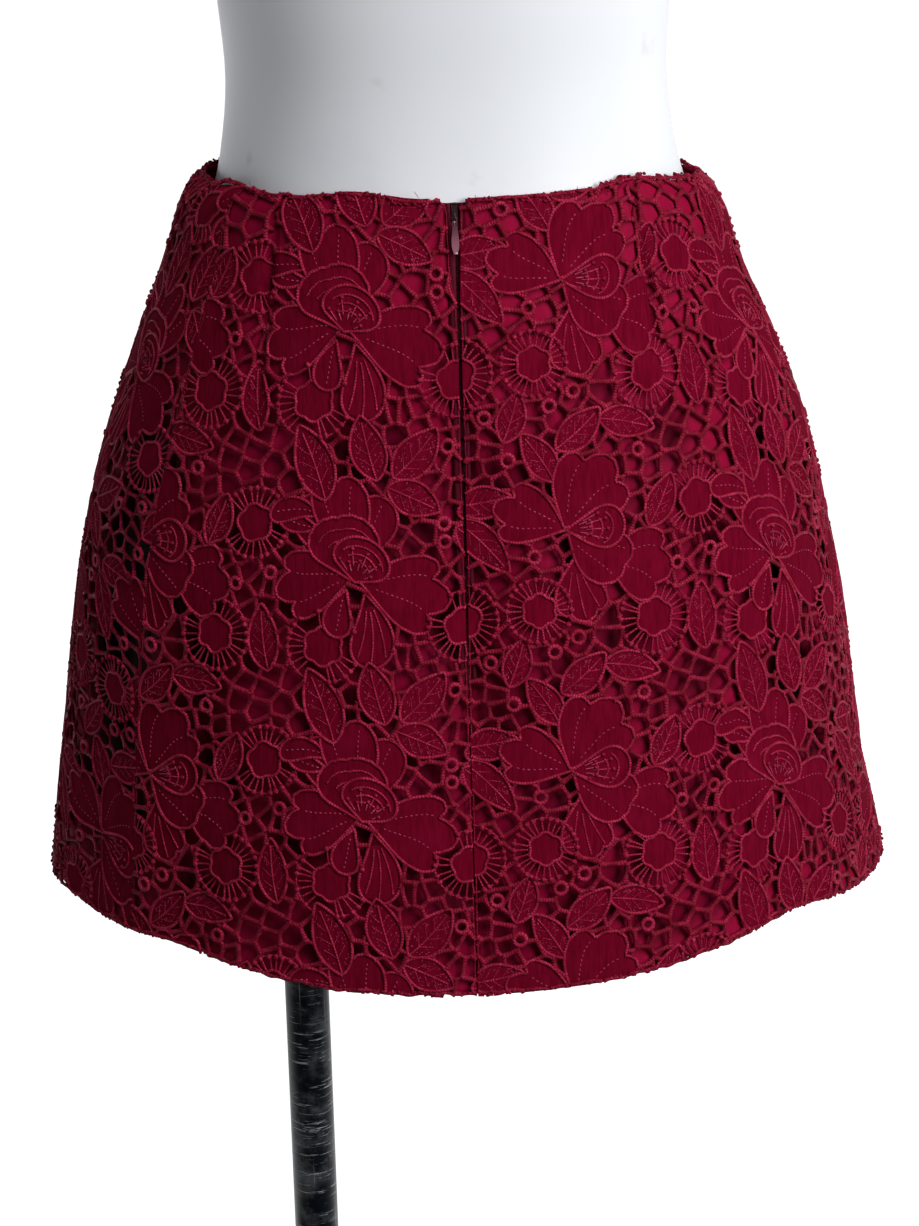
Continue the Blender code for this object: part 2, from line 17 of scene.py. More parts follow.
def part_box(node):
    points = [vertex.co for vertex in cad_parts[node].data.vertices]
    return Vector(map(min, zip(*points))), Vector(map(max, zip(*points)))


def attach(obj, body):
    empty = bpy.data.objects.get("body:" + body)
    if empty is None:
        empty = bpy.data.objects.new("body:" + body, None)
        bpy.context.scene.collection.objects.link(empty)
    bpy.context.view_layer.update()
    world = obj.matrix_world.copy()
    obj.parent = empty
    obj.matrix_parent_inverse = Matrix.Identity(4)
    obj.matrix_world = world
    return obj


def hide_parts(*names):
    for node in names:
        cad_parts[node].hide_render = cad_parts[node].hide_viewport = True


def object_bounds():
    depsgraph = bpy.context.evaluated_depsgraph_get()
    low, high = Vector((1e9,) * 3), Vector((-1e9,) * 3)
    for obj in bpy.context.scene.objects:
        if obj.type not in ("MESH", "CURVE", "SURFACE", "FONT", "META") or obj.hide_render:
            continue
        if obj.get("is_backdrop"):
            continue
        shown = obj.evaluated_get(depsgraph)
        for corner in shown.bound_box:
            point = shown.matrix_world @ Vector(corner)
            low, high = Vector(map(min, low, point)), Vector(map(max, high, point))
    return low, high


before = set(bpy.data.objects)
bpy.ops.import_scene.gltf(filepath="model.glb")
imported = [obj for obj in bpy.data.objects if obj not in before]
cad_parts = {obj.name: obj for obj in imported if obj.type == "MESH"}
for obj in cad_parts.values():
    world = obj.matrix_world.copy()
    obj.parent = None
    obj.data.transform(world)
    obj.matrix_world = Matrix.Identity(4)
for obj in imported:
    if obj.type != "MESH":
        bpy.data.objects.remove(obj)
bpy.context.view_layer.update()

MM = 0.001

# ---------------------------------------------------------------- camera
# A long lens behind the skirt, half a metre above its waist, looks down at it from a touch to the left. It is
# held a degree or so off level.
scene = bpy.context.scene
scene.view_settings.view_transform = "Standard"

WAIST = 0.739  # height of the waist edge at the centre back
CAMERA_AWAY, CAMERA_RISE = 2.0, 0.55  # from the skirt's axis, and above its waist
TURN, PITCH, ROLL = (math.radians(degrees) for degrees in (-1.43, 21.91, -1.46))


def placed(name, data, matrix=None):
    """A new object in the scene."""
    obj = bpy.data.objects.new(name, data)
    if matrix:
        obj.matrix_world = matrix
    scene.collection.objects.link(obj)
    return obj


behind = Vector((math.sin(TURN), -math.cos(TURN), 0))
forward = -behind * math.cos(PITCH) - Vector((0, 0, math.sin(PITCH)))
level_right = forward.cross(Vector((0, 0, 1))).normalized()
level_up = level_right.cross(forward)
across = level_right * math.cos(ROLL) + level_up * math.sin(ROLL)
upward = level_up * math.cos(ROLL) - level_right * math.sin(ROLL)
camera_data = bpy.data.cameras.new("camera")
camera_data.lens = 120.2
camera_data.clip_end = 100
camera_place = Matrix.Translation(behind * CAMERA_AWAY + Vector((0, 0, WAIST + CAMERA_RISE)))
scene.camera = placed("camera", camera_data, camera_place @ Matrix((across, upward, -forward)).transposed().to_4x4())

# ---------------------------------------------------------------- floor and studio light
# A wide floor fills the whole background, white behind the stand and grey in front of it; its white part glows,
# lighting the skirt from below, and the grey part does not glow. A large soft window of light stands to the right and
# another hangs overhead; a dim even sky fills the shade.
FLOOR_HALF = 30.0
GREY_TO, WHITE_FROM = -0.25, 0.16


def mesh_object(name, points, faces, material=None):
    """A smooth mesh from points and faces, linked to the scene."""
    mesh = bpy.data.meshes.new(name)
    mesh.from_pydata(np.asarray(points, float).tolist(), [], [tuple(int(i) for i in face) for face in faces])
    mesh.update()
    mesh.shade_smooth()
    if material:
        mesh.materials.append(material)
    return placed(name, mesh)


def principled(name, **settings):
    """A new material and its node tree; settings go on its shader's own sockets."""
    material = bpy.data.materials.new(name)
    material.use_nodes = True
    for socket, value in settings.items():
        material.node_tree.nodes["Principled BSDF"].inputs[socket.replace("_", " ")].default_value = value
    return material, material.node_tree


def feed(tree, **sockets):
    """Links values to the sockets of a material's shader."""
    for socket, value in sockets.items():
        tree.links.new(value, tree.nodes["Principled BSDF"].inputs[socket.replace("_", " ")])


def is_socket(value):
    return isinstance(value, bpy.types.NodeSocket)


def node(tree, kind, inputs=None, **properties):
    """A node with its properties and input values set; a value that is a socket is linked."""
    made = tree.nodes.new(kind)
    for key, value in properties.items():
        setattr(made, key, value)
    for key, value in (inputs or {}).items():
        if is_socket(value):
            tree.links.new(value, made.inputs[key])
        else:
            made.inputs[key].default_value = value
    return made


def object_place(tree):
    return node(tree, "ShaderNodeTexCoord").outputs["Object"]


def ranged(tree, value, low, high, new_low=0.0, new_high=1.0):
    """A value's range changed and clamped, with soft ends."""
    return node(tree, "ShaderNodeMapRange", {
        "Value": value, "From Min": low, "From Max": high, "To Min": new_low, "To Max": new_high,
    }, interpolation_type="SMOOTHSTEP").outputs["Result"]


floor_white, floor_tree = principled("floor_white", Roughness=0.9, Emission_Strength=0.8)
floor_depth = node(floor_tree, "ShaderNodeSeparateXYZ", {0: object_place(floor_tree)}).outputs["Y"]
feed(
    floor_tree,
    Base_Color=ranged(floor_tree, floor_depth, GREY_TO, WHITE_FROM, 0.16, 0.92),
    Emission_Color=ranged(floor_tree, floor_depth, GREY_TO, WHITE_FROM),
)
floor_corners = [(x * FLOOR_HALF, y * FLOOR_HALF, 0) for x, y in ((-1, -1), (1, -1), (1, 1), (-1, 1))]
floor = mesh_object("studio_floor", floor_corners, [(0, 1, 2, 3)], floor_white)
floor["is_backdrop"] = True

scene.world = bpy.data.worlds.new("studio_sky")
scene.world.use_nodes = True
sky = scene.world.node_tree.nodes["Background"]
sky.inputs["Color"].default_value = (0.93, 0.95, 1.0, 1)
sky.inputs["Strength"].default_value = 0.16

LIT_POINT = Vector((0, 0, 0.6))
SoftLight = namedtuple("SoftLight", "name place size power colour")
for light in (
    SoftLight("window_right", (2.22, -2.04, 1.80), 1.5, 75, (1.0, 0.99, 0.99)),
    SoftLight("overhead", (0.8, -1.5, 2.9), 1.2, 44, (1.0, 1.0, 1.0)),
):
    lamp = bpy.data.lights.new(light.name, "AREA")
    lamp.size, lamp.energy, lamp.color = light.size, light.power, light.colour
    aim = (LIT_POINT - Vector(light.place)).to_track_quat("-Z", "Y").to_matrix().to_4x4()
    placed(light.name, lamp, Matrix.Translation(light.place) @ aim)

# ---------------------------------------------------------------- display form
# A limbless hip and waist form of moulded plastic with a matt white skin, domed at the top and open below,
# where a flat plate closes it. The skin has faint lilac rub marks from clothes.
FormSection = namedtuple("FormSection", "at half_width half_depth tilt")
FORM_SECTIONS = (
    FormSection(-0.262, 0.1540, 0.1180, 0.0),
    FormSection(-0.236, 0.1590, 0.1215, 0.1),
    FormSection(-0.158, 0.1595, 0.1220, 0.5),
    FormSection(-0.087, 0.1450, 0.1120, 0.9),
    FormSection(-0.040, 0.1285, 0.1022, 1.0),
    FormSection(-0.016, 0.1205, 0.0972, 1.0),
    FormSection(0.000, 0.1160, 0.0938, 1.0),
    FormSection(0.012, 0.1138, 0.0925, 1.0),
    FormSection(0.043, 0.1102, 0.0912, 0.9),
    FormSection(0.090, 0.1130, 0.0935, 0.5),
    FormSection(0.135, 0.1165, 0.0965, 0.2),
)
FORM_DOME = 32 * MM
DOME_RINGS = (8, 16, 24, 32, 40, 48, 56, 64, 72, 79, 85)  # degrees up the dome
FORM_WALL = 4 * MM
FORM_ROUNDNESS = 2.2
FORM_SIDES = 144
WAIST_TILT = 25 * MM
FORM_ANGLES = np.arange(FORM_SIDES) * 360 / FORM_SIDES


def along(rows, column, where):
    """A column's values at places between the rows, on a smooth curve through them."""
    knots = np.array([row.at for row in rows])
    values = np.array([getattr(row, column) for row in rows])
    slopes = np.gradient(values, knots)
    where = np.clip(where, knots[0], knots[-1])
    i = np.clip(np.searchsorted(knots, where, side="right") - 1, 0, len(knots) - 2)
    span = knots[i + 1] - knots[i]
    t = (where - knots[i]) / span
    return (
        values[i] * (1 + 2 * t) * (1 - t) ** 2
        + slopes[i] * span * t * (1 - t) ** 2
        + values[i + 1] * t * t * (3 - 2 * t)
        + slopes[i + 1] * span * t * t * (t - 1)
    )


def stacked(*columns):
    """Points from arrays of their coordinates."""
    return np.stack(columns, axis=-1)


def unit(vectors):
    return vectors / np.linalg.norm(vectors, axis=-1, keepdims=True)


def oval(half_width, half_depth, roundness, angle):
    """Points of horizontal sections: squared ellipses, by the angle in degrees."""
    c, s = np.cos(np.radians(angle)), np.sin(np.radians(angle))
    power = 2 / roundness
    return half_width * np.sign(c) * np.abs(c) ** power, half_depth * np.sign(s) * np.abs(s) ** power


def waist_tilt(angle):
    """How far the waist edge lies below its height at the centre back."""
    return WAIST_TILT * ((1 + np.sin(np.radians(angle))) / 2) ** 1.6


def grid_faces(rows, columns, start=0, wrap=True, flip=False):
    """Quads between rows of points that run the same way."""
    i, j = np.meshgrid(np.arange(rows - 1), np.arange(columns if wrap else columns - 1), indexing="ij")
    a = start + i * columns + j
    b = start + i * columns + (j + 1) % columns
    quads = stacked(a, b, b + columns, a + columns).reshape(-1, 4)
    return (quads[:, ::-1] if flip else quads).tolist()


def form_skin(inset):
    """The form's skin, moved in by a wall: rings from the bottom up over the dome, and the point that closes it."""
    first, last = FORM_SECTIONS[0], FORM_SECTIONS[-1]
    rings = []
    for at in np.concatenate([np.linspace(first.at, 0, 30), np.linspace(0, last.at, 16)[1:]]):
        half_width, half_depth, tilt = (
            along(FORM_SECTIONS, name, at) for name in ("half_width", "half_depth", "tilt")
        )
        x, y = oval(half_width - inset, half_depth - inset, FORM_ROUNDNESS, FORM_ANGLES)
        rings.append(stacked(x, y, WAIST + at - tilt * waist_tilt(FORM_ANGLES)))
    for up in np.radians(DOME_RINGS):
        shrink, lift = math.cos(up), math.sin(up)
        half_width, half_depth = (half - inset for half in (last.half_width, last.half_depth))
        x, y = oval(half_width * shrink, half_depth * shrink, FORM_ROUNDNESS, FORM_ANGLES)
        height = WAIST + last.at + (FORM_DOME - inset) * lift
        rings.append(stacked(x, y, height - last.tilt * shrink * waist_tilt(FORM_ANGLES)))
    return np.concatenate([*rings, [[0, 0, WAIST + last.at + FORM_DOME - inset]]])


form_outer, form_inner = form_skin(0.0), form_skin(FORM_WALL)
inner_start, form_top = len(form_outer), len(form_outer) - 1
ring_count, last_ring = form_top // FORM_SIDES, form_top - FORM_SIDES
form_faces = grid_faces(ring_count, FORM_SIDES) + grid_faces(ring_count, FORM_SIDES, inner_start, flip=True)
for i in range(FORM_SIDES):
    j = (i + 1) % FORM_SIDES
    form_faces += [
        (last_ring + i, last_ring + j, form_top),
        (inner_start + last_ring + j, inner_start + last_ring + i, inner_start + form_top),
        (j, i, inner_start + i, inner_start + j),
    ]


def mixed(tree, factor, *colours):
    """A colour between two; each may be a colour or a socket."""
    first, second = (colour if is_socket(colour) else (*colour, 1) for colour in colours)
    return node(tree, "ShaderNodeMix", {0: factor, 6: first, 7: second}, data_type="RGBA").outputs[2]


def noise(tree, place, scale, detail, roughness=0.5, stretch=None):
    """Soft noise; stretch scales its place along each axis first."""
    if stretch:
        place = node(tree, "ShaderNodeMapping", {"Vector": place, "Scale": stretch}).outputs["Vector"]
    return node(tree, "ShaderNodeTexNoise", {
        "Vector": place, "Scale": scale, "Detail": detail, "Roughness": roughness,
    }).outputs["Fac"]


def maths(tree, operation, *values, **properties):
    return node(tree, "ShaderNodeMath", dict(enumerate(values)), operation=operation, **properties).outputs[0]


def bumped(tree, height, strength, distance):
    """A normal bumped by a height; the distance is in millimetres."""
    return node(tree, "ShaderNodeBump", {
        "Height": height, "Strength": strength, "Distance": distance * MM,
    }).outputs["Normal"]


def group(kind, name, inputs, outputs):
    """An empty node group, its inputs to read and its outputs to feed; rows are (name, socket kind, default)."""
    made = bpy.data.node_groups.new(name, kind)
    for direction, rows in (("INPUT", inputs), ("OUTPUT", outputs)):
        for title, socket_kind, *default in rows:
            socket = made.interface.new_socket(title, in_out=direction, socket_type="NodeSocket" + socket_kind)
            if default:
                socket.default_value = default[0]
    return made, made.nodes.new("NodeGroupInput").outputs, made.nodes.new("NodeGroupOutput").inputs


# Cloudy marks: soft patches of a mask, used for rub marks, dust and uneven dye.
cloudy, cloudy_in, cloudy_out = group("ShaderNodeTree", "cloudy_marks", (
    ("Coordinates", "Vector"), ("Scale", "Float", 8.0), ("Amount", "Float", 0.5), ("Softness", "Float", 0.2),
), (("Mask", "Float"),))
cloud_noise = noise(cloudy, cloudy_in["Coordinates"], cloudy_in["Scale"], 4.0, 0.55)
cloud_low = maths(cloudy, "SUBTRACT", 1.0, cloudy_in["Amount"])
cloud_high = maths(cloudy, "ADD", cloud_low, cloudy_in["Softness"])
cloudy.links.new(ranged(cloudy, cloud_noise, cloud_low, cloud_high), cloudy_out["Mask"])


def clouds(tree, place, scale, amount, softness):
    """The cloudy marks placed in a material."""
    return node(tree, "ShaderNodeGroup", {
        "Coordinates": place, "Scale": scale, "Amount": amount, "Softness": softness,
    }, node_tree=cloudy).outputs["Mask"]


def stands_for(piece, cad_node, body="skirt_on_stand"):
    """A finished piece takes a CAD node's place and rides on its body."""
    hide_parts(cad_node)
    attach(piece, body)


form_white, form_tree = principled("form_white_skin", Coat_Weight=0.04, Coat_Roughness=0.35)
form_place = object_place(form_tree)
lilac_marks = clouds(form_tree, form_place, 9.0, 0.42, 0.22)
grey_marks = clouds(form_tree, form_place, 31.0, 0.36, 0.10)
form_colour = mixed(form_tree, lilac_marks, (0.775, 0.80, 0.835), (0.720, 0.710, 0.815))
feed(
    form_tree,
    Base_Color=mixed(form_tree, grey_marks, form_colour, (0.70, 0.71, 0.74)),
    Roughness=ranged(form_tree, grey_marks, 0, 1, 0.42, 0.6),
    Normal=bumped(form_tree, noise(form_tree, form_place, 900.0, 2.0), 0.12, 0.2),
)
form = mesh_object("display_form", np.concatenate([form_outer, form_inner]), form_faces, form_white)
stands_for(form, "form_shell")

# ---------------------------------------------------------------- plate, socket, pole and base
# A grey board closes the form. Under it a steel flange socket takes the pole, a black lacquered tube whose
# finish is scored by many years of sliding, and a heavy black disc with a collar carries it all.
(pole_low, pole_high), (base_low, base_high), (socket_low, socket_high), (plate_low, plate_high) = (
    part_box(name) for name in ("stand_pole", "stand_base", "pole_socket", "form_bottom_plate")
)
POLE_X = (pole_low.x + pole_high.x) / 2
POLE_RADIUS = (pole_high.x - pole_low.x) / 2
POLE_WALL = 1.5 * MM
BORE_RADIUS = POLE_RADIUS + 0.3 * MM  # of the socket and the base's collar, round the pole
BORE_HIGH, BORE_LOW = pole_high.z + 0.3 * MM, pole_low.z - 0.3 * MM
BASE_RADIUS = (base_high.x - base_low.x) / 2
SOCKET_RADIUS = 15 * MM
SHARP = math.radians(50)


def faced_out(obj):
    """Turns a closed mesh's faces outward and keeps its corners sharp."""
    solid = bmesh.new()
    solid.from_mesh(obj.data)
    bmesh.ops.recalc_face_normals(solid, faces=solid.faces)
    solid.to_mesh(obj.data)
    solid.free()
    obj.data.set_sharp_from_angle(angle=SHARP)
    return obj


def turned(name, profile, sides, material, easing=0.35 * MM):
    """A closed solid turned about the pole's axis from (radius, height) points, outside first, its corners eased."""
    profile = np.array(profile, float)
    eased = []
    for k, here in enumerate(profile):
        if here[0] == 0:
            eased.append(here)
            continue
        for other in (profile[k - 1], profile[(k + 1) % len(profile)]):
            way = other - here
            size = np.linalg.norm(way)
            eased.append(here + way * min(easing, size * 0.3) / size)
    angle = np.arange(sides) * 2 * np.pi / sides
    points, rows = [], []
    for radius, height in eased:
        if radius == 0:
            rows.append(np.full(sides, len(points)))
            points.append((POLE_X, 0, height))
            continue
        rows.append(np.arange(len(points), len(points) + sides))
        points += zip(POLE_X + radius * np.cos(angle), radius * np.sin(angle), np.full(sides, height))
    faces = []
    for low, high in zip(rows, rows[1:] + rows[:1] if profile[0][0] else rows[1:]):
        for i in range(sides):
            j = (i + 1) % sides
            corners = tuple(dict.fromkeys((low[i], low[j], high[j], high[i])))
            if len(corners) > 2:
                faces.append(corners)
    return faced_out(mesh_object(name, points, faces, material))


plate_grey, plate_tree = principled("plate_grey_board", Roughness=0.75)
plate_fleck = noise(plate_tree, object_place(plate_tree), 420.0, 3.0)
feed(
    plate_tree,
    Base_Color=mixed(plate_tree, plate_fleck, (0.30, 0.30, 0.33), (0.52, 0.52, 0.55)),
    Normal=bumped(plate_tree, plate_fleck, 0.3, 0.2),
)
PLATE_RIM, PLATE_EASING = 6.0 * MM, 0.6 * MM
plate_rings = []
for height, inset in (
    (plate_low.z, PLATE_RIM), (plate_low.z, PLATE_EASING), (plate_low.z + PLATE_EASING, 0.0),
    (plate_high.z - PLATE_EASING, 0.0), (plate_high.z, PLATE_EASING), (plate_high.z, PLATE_RIM),
):
    x, y = oval(plate_high.x - inset, plate_high.y - inset, FORM_ROUNDNESS, FORM_ANGLES)
    plate_rings.append(stacked(x, y, np.full(FORM_SIDES, height)))
plate_faces = grid_faces(len(plate_rings), FORM_SIDES)
plate_faces.append(tuple(reversed(range(FORM_SIDES))))
plate_faces.append(tuple(range((len(plate_rings) - 1) * FORM_SIDES, len(plate_rings) * FORM_SIDES)))
plate = mesh_object("form_board", np.concatenate(plate_rings), plate_faces, plate_grey)
plate.data.set_sharp_from_angle(angle=math.radians(60))
stands_for(plate, "form_bottom_plate")


def scored_metal(name, base, worn, rough, metal, score_scale, score_amount):
    """Dark lacquered metal with fine level scores and a few long upright ones, worn to a pale colour."""
    material, tree = principled(name, Metallic=metal, Specular_IOR_Level=0.10)
    place = object_place(tree)
    # Level scores are thin in height, a few millimetres long round the tube, and gathered in bands.
    level = noise(tree, place, 1.0, 4.0, 0.72, stretch=(45.0, 45.0, score_scale))
    level = ranged(tree, level, 1 - score_amount, 1 - score_amount + 0.05)
    bands = ranged(tree, noise(tree, place, 21.0, 1.0), 0.40, 0.56, 0.15, 1.0)
    upright = noise(tree, place, 1.0, 2.0, stretch=(700.0, 700.0, 9.0))
    upright = ranged(tree, upright, 0.67, 0.72, 0.0, 0.5)
    scores = maths(tree, "MAXIMUM", maths(tree, "MULTIPLY", level, bands), upright, use_clamp=True)
    haze = ranged(tree, noise(tree, place, 60.0, 5.0, 0.65), 0.45, 0.8, 0.0, 0.25)
    feed(
        tree,
        Base_Color=mixed(tree, scores, mixed(tree, haze, base, worn), worn),
        Roughness=ranged(tree, scores, 0, 1, rough, 0.8),
        Normal=bumped(tree, maths(tree, "SUBTRACT", 1.0, scores), 0.4, 0.1),
    )
    return material


pole_black = scored_metal("pole_black_lacquer", (0.0012, 0.0035, 0.0065), (0.40, 0.42, 0.44), 0.30, 0.0, 900.0, 0.40)
socket_steel = scored_metal("socket_dark_steel", (0.030, 0.032, 0.036), (0.22, 0.22, 0.23), 0.42, 0.6, 500.0, 0.36)
base_black = scored_metal("base_black_lacquer", (0.010, 0.011, 0.014), (0.16, 0.16, 0.17), 0.45, 0.0, 300.0, 0.31)

pole_socket = turned("stand_socket", (
    (0, socket_high.z), (34 * MM, socket_high.z), (34 * MM, socket_high.z - 3 * MM),
    (17 * MM, socket_high.z - 5 * MM), (SOCKET_RADIUS, socket_high.z - 9 * MM), (SOCKET_RADIUS, socket_low.z),
    (BORE_RADIUS, socket_low.z), (BORE_RADIUS, BORE_HIGH), (0, BORE_HIGH),
), 72, socket_steel)
pole = turned("stand_pole_tube", (
    (POLE_RADIUS, pole_low.z), (POLE_RADIUS, pole_high.z),
    (POLE_RADIUS - POLE_WALL, pole_high.z), (POLE_RADIUS - POLE_WALL, pole_low.z),
), 96, pole_black)
base = turned("stand_base_disc", (
    (0, 0), (BASE_RADIUS - 1 * MM, 0), (BASE_RADIUS, 1 * MM), (BASE_RADIUS, 4 * MM), (BASE_RADIUS - 3 * MM, 7 * MM),
    (26 * MM, 10 * MM), (19 * MM, 13 * MM), (17 * MM, base_high.z - 2 * MM), (15 * MM, base_high.z),
    (BORE_RADIUS, base_high.z), (BORE_RADIUS, BORE_LOW), (0, BORE_LOW),
), 120, base_black, 0.8 * MM)
for piece, cad_node in ((pole_socket, "pole_socket"), (pole, "stand_pole"), (base, "stand_base")):
    stands_for(piece, cad_node)

# ---------------------------------------------------------------- the skirt's surface and its lining
# The lining is a crimson satin-backed poplin cut as the lace is: a front and two backs, close at the waist and
# hanging free at the sides. It is sewn in at the waist and down the zip, and ends at the lace's corded hem.
SkirtSection = namedtuple("SkirtSection", "at half_width half_depth roundness")
SKIRT_SECTIONS = (
    SkirtSection(0.000, 0.1225, 0.0975, 2.20),
    SkirtSection(0.006, 0.1300, 0.0990, 2.20),
    SkirtSection(0.016, 0.1355, 0.1014, 2.20),
    SkirtSection(0.040, 0.1430, 0.1080, 2.18),
    SkirtSection(0.087, 0.1600, 0.1200, 2.16),
    SkirtSection(0.158, 0.1840, 0.1360, 2.12),
    SkirtSection(0.236, 0.2005, 0.1485, 2.08),
    SkirtSection(0.315, 0.2095, 0.1595, 2.04),
    SkirtSection(0.394, 0.2175, 0.1685, 2.00),
)
SKIRT_LENGTH = SKIRT_SECTIONS[-1].at
HEM_HEIGHT = WAIST - SKIRT_LENGTH
HEM_SIDE_RISE = 22 * MM
HEM_CORNER_DROOP = 0.5
CENTRE_BACK, CENTRE_FRONT = 270.0, 101.0
LEFT_SEAM, RIGHT_SEAM = 216.0, 346.0
SEAM_GAP = 0.3 * MM
LACE_THICKNESS = 1.2 * MM
LINING_THICKNESS = 1.0 * MM
ZIP_END = 0.220 / SKIRT_LENGTH
TAPE_END = ZIP_END + 15 * MM / SKIRT_LENGTH

# A fold rises or dips within its reach of an angle, between two shares of the skirt's length.
Fold = namedtuple("Fold", "angle reach height top bottom")
FOLDS = (
    Fold(CENTRE_BACK, 10, -3.0 * MM, 0.12, 1.10),
    Fold(250, 12, 1.6 * MM, 0.25, 1.30),
    Fold(292, 13, 1.8 * MM, 0.30, 1.30),
    Fold(228, 11, -2.0 * MM, 0.45, 1.40),
    Fold(318, 14, -1.6 * MM, 0.40, 1.40),
    Fold(196, 12, 1.8 * MM, 0.50, 1.40),
    Fold(40, 16, -2.2 * MM, 0.45, 1.40),
    Fold(78, 15, 2.0 * MM, 0.40, 1.35),
    Fold(118, 17, -1.8 * MM, 0.50, 1.40),
    Fold(150, 14, 1.8 * MM, 0.55, 1.40),
    Fold(352, 20, 3.5 * MM, 0.70, 1.45),
    Fold(188, 20, 4.5 * MM, 0.62, 1.45),
    Fold(356, 14, 4.0 * MM, 0.86, 1.20),
    Fold(8, 50, 3.0 * MM, -0.16, 0.16),
    Fold(352, 24, 4.5 * MM, 0.00, 0.52),
    Fold(271, 4.5, -2.4 * MM, 0.08, 1.00),
)
Wave = namedtuple("Wave", "angle reach rise")
WAIST_WAVES = (
    Wave(211, 12, 3.0 * MM), Wave(249, 15, 3.5 * MM), Wave(313, 14, 3.0 * MM), Wave(8, 50, -9.0 * MM),
)
HEM_WAVES = (Wave(343, 26, -14.0 * MM), Wave(210, 16, -5.0 * MM))
Dart = namedtuple("Dart", "panel angle lean end")
DARTS = (Dart("left_back", 230.5, 17, 0.30), Dart("right_back", 310.5, -17, 0.27))
DART_REACH, DART_DIP, DART_INTAKE, DART_SPREAD = 1.9, 3.0 * MM, 9.0 * MM, 70 * MM


def bump(distance):
    """1 at 0, falling smoothly to 0 at 1 and beyond."""
    return (1 - np.minimum(np.abs(distance), 1.0) ** 2) ** 2


def turn_from(angle, centre):
    """An angle counted from a centre, -180 to 180."""
    return (angle - centre + 180) % 360 - 180


def fold_height(fold, share, angle):
    middle, half = (fold.top + fold.bottom) / 2, (fold.bottom - fold.top) / 2
    return fold.height * bump(turn_from(angle, fold.angle) / fold.reach) * bump((share - middle) / half)


def edge_wave(waves, angle):
    """How far the waist or hem edge is raised by its own slack at this angle."""
    return sum(wave.rise * bump(turn_from(angle, wave.angle) / wave.reach) for wave in waves)


def skirt_surface(share, angle):
    """Points of the lace's outer face, by the share of the skirt's length and the angle round it."""
    out = sum(fold_height(fold, share, angle) for fold in FOLDS)
    for dart in DARTS:
        away = np.abs(turn_from(angle - dart.angle, dart.lean * share)) / DART_REACH
        out = out - DART_DIP * np.maximum(1 - away, 0) ** 1.6 * np.clip((dart.end - share) / 0.10, 0, 1) ** 0.8
    side = np.cos(np.radians(angle)) ** 2
    top = WAIST - waist_tilt(angle) + edge_wave(WAIST_WAVES, angle)
    hem = HEM_HEIGHT + HEM_SIDE_RISE * (side - HEM_CORNER_DROOP * side**6) + edge_wave(HEM_WAVES, angle)
    half_width, half_depth, roundness = (
        along(SKIRT_SECTIONS, name, share * SKIRT_LENGTH) for name in ("half_width", "half_depth", "roundness")
    )
    x, y = oval(half_width + out, half_depth + out, roundness, angle)
    return stacked(x, y, top + (hem - top) * share)


# The surface and its outward normals on a fine grid, read between its points for everything laid on the skirt.
GRID_SHARES = np.linspace(0, 1, 401)
GRID_ANGLES = np.arange(-30, 391, 0.25)
surface_grid = skirt_surface(*np.meshgrid(GRID_SHARES, GRID_ANGLES, indexing="ij"))
down_step, round_step = np.gradient(surface_grid, axis=(0, 1))
normal_grid = unit(np.cross(down_step, round_step))
if (normal_grid * surface_grid)[..., :2].sum() < 0:
    normal_grid = -normal_grid


def share_row(share):
    return share * (len(GRID_SHARES) - 1)


def angle_column(angle):
    return (angle - GRID_ANGLES[0]) / (GRID_ANGLES[1] - GRID_ANGLES[0])


def read_grid(table, rows, columns):
    """A table's values between its points, by row and column numbers that may be fractions."""
    rows = np.clip(rows, 0, table.shape[0] - 1.001)
    columns = np.clip(columns, 0, table.shape[1] - 1.001)
    i, j = rows.astype(int), columns.astype(int)
    p, q = rows - i, columns - j
    if table.ndim == 3:
        p, q = p[..., None], q[..., None]
    return (
        (table[i, j] * (1 - q) + table[i, j + 1] * q) * (1 - p)
        + (table[i + 1, j] * (1 - q) + table[i + 1, j + 1] * q) * p
    )


def on_skirt(share, angle, depth=0.0):
    """Points at a depth inside the lace's outer face, square to it; also the outward normals."""
    share, angle = np.broadcast_arrays(np.asarray(share, float), np.asarray(angle, float))
    rows, columns = share_row(share), angle_column(angle)
    outward = unit(read_grid(normal_grid, rows, columns))
    return read_grid(surface_grid, rows, columns) - outward * np.asarray(depth)[..., None], outward


def beside(centre, share, distance):
    """The angles at a distance along the cloth from a centre angle."""
    (ahead, _), (rear, _) = (on_skirt(share, centre + half) for half in (0.5, -0.5))
    return centre + distance / np.linalg.norm(ahead - rear, axis=-1)


# The lining's lie under the lace: how far it stands clear, its slack, and where it hangs back in deep hollows.
WAIST_CLEAR, SIDE_CLOSER, HANG_CLEAR, LIE_CLEAR = 0.8, 0.4, 2.2 * MM, 0.15 * MM
SWELL, SWELL_TURNS = 0.34 * MM, 520
SLACK, SLACK_ROUND, SLACK_DOWN = 4.5 * MM, 105, 80
HOLLOWS = (
    Fold(206, 15, 12.0 * MM, 0.20, 0.95),
    Fold(228, 9, 3.0 * MM, 0.34, 0.95),
    Fold(329, 10, 6.0 * MM, 0.26, 0.93),
)
PAINTED_SHADE_FROM, PAINTED_SHADE_SPAN = 3.6 * MM, 8 * MM  # the depth at which a hollow's shade starts, and over which it grows


def ripple(x, y, seeds):
    """A smooth uneven height from a few crossing waves, about -1 to 1."""
    height = 0.0
    for k, seed in enumerate(seeds):
        way = seed * 2.399
        height = height + np.sin(x * math.cos(way) * (1 + 0.31 * k) + y * math.sin(way) * (1 + 0.23 * k) + seed * 1.7)
    return height / len(seeds)


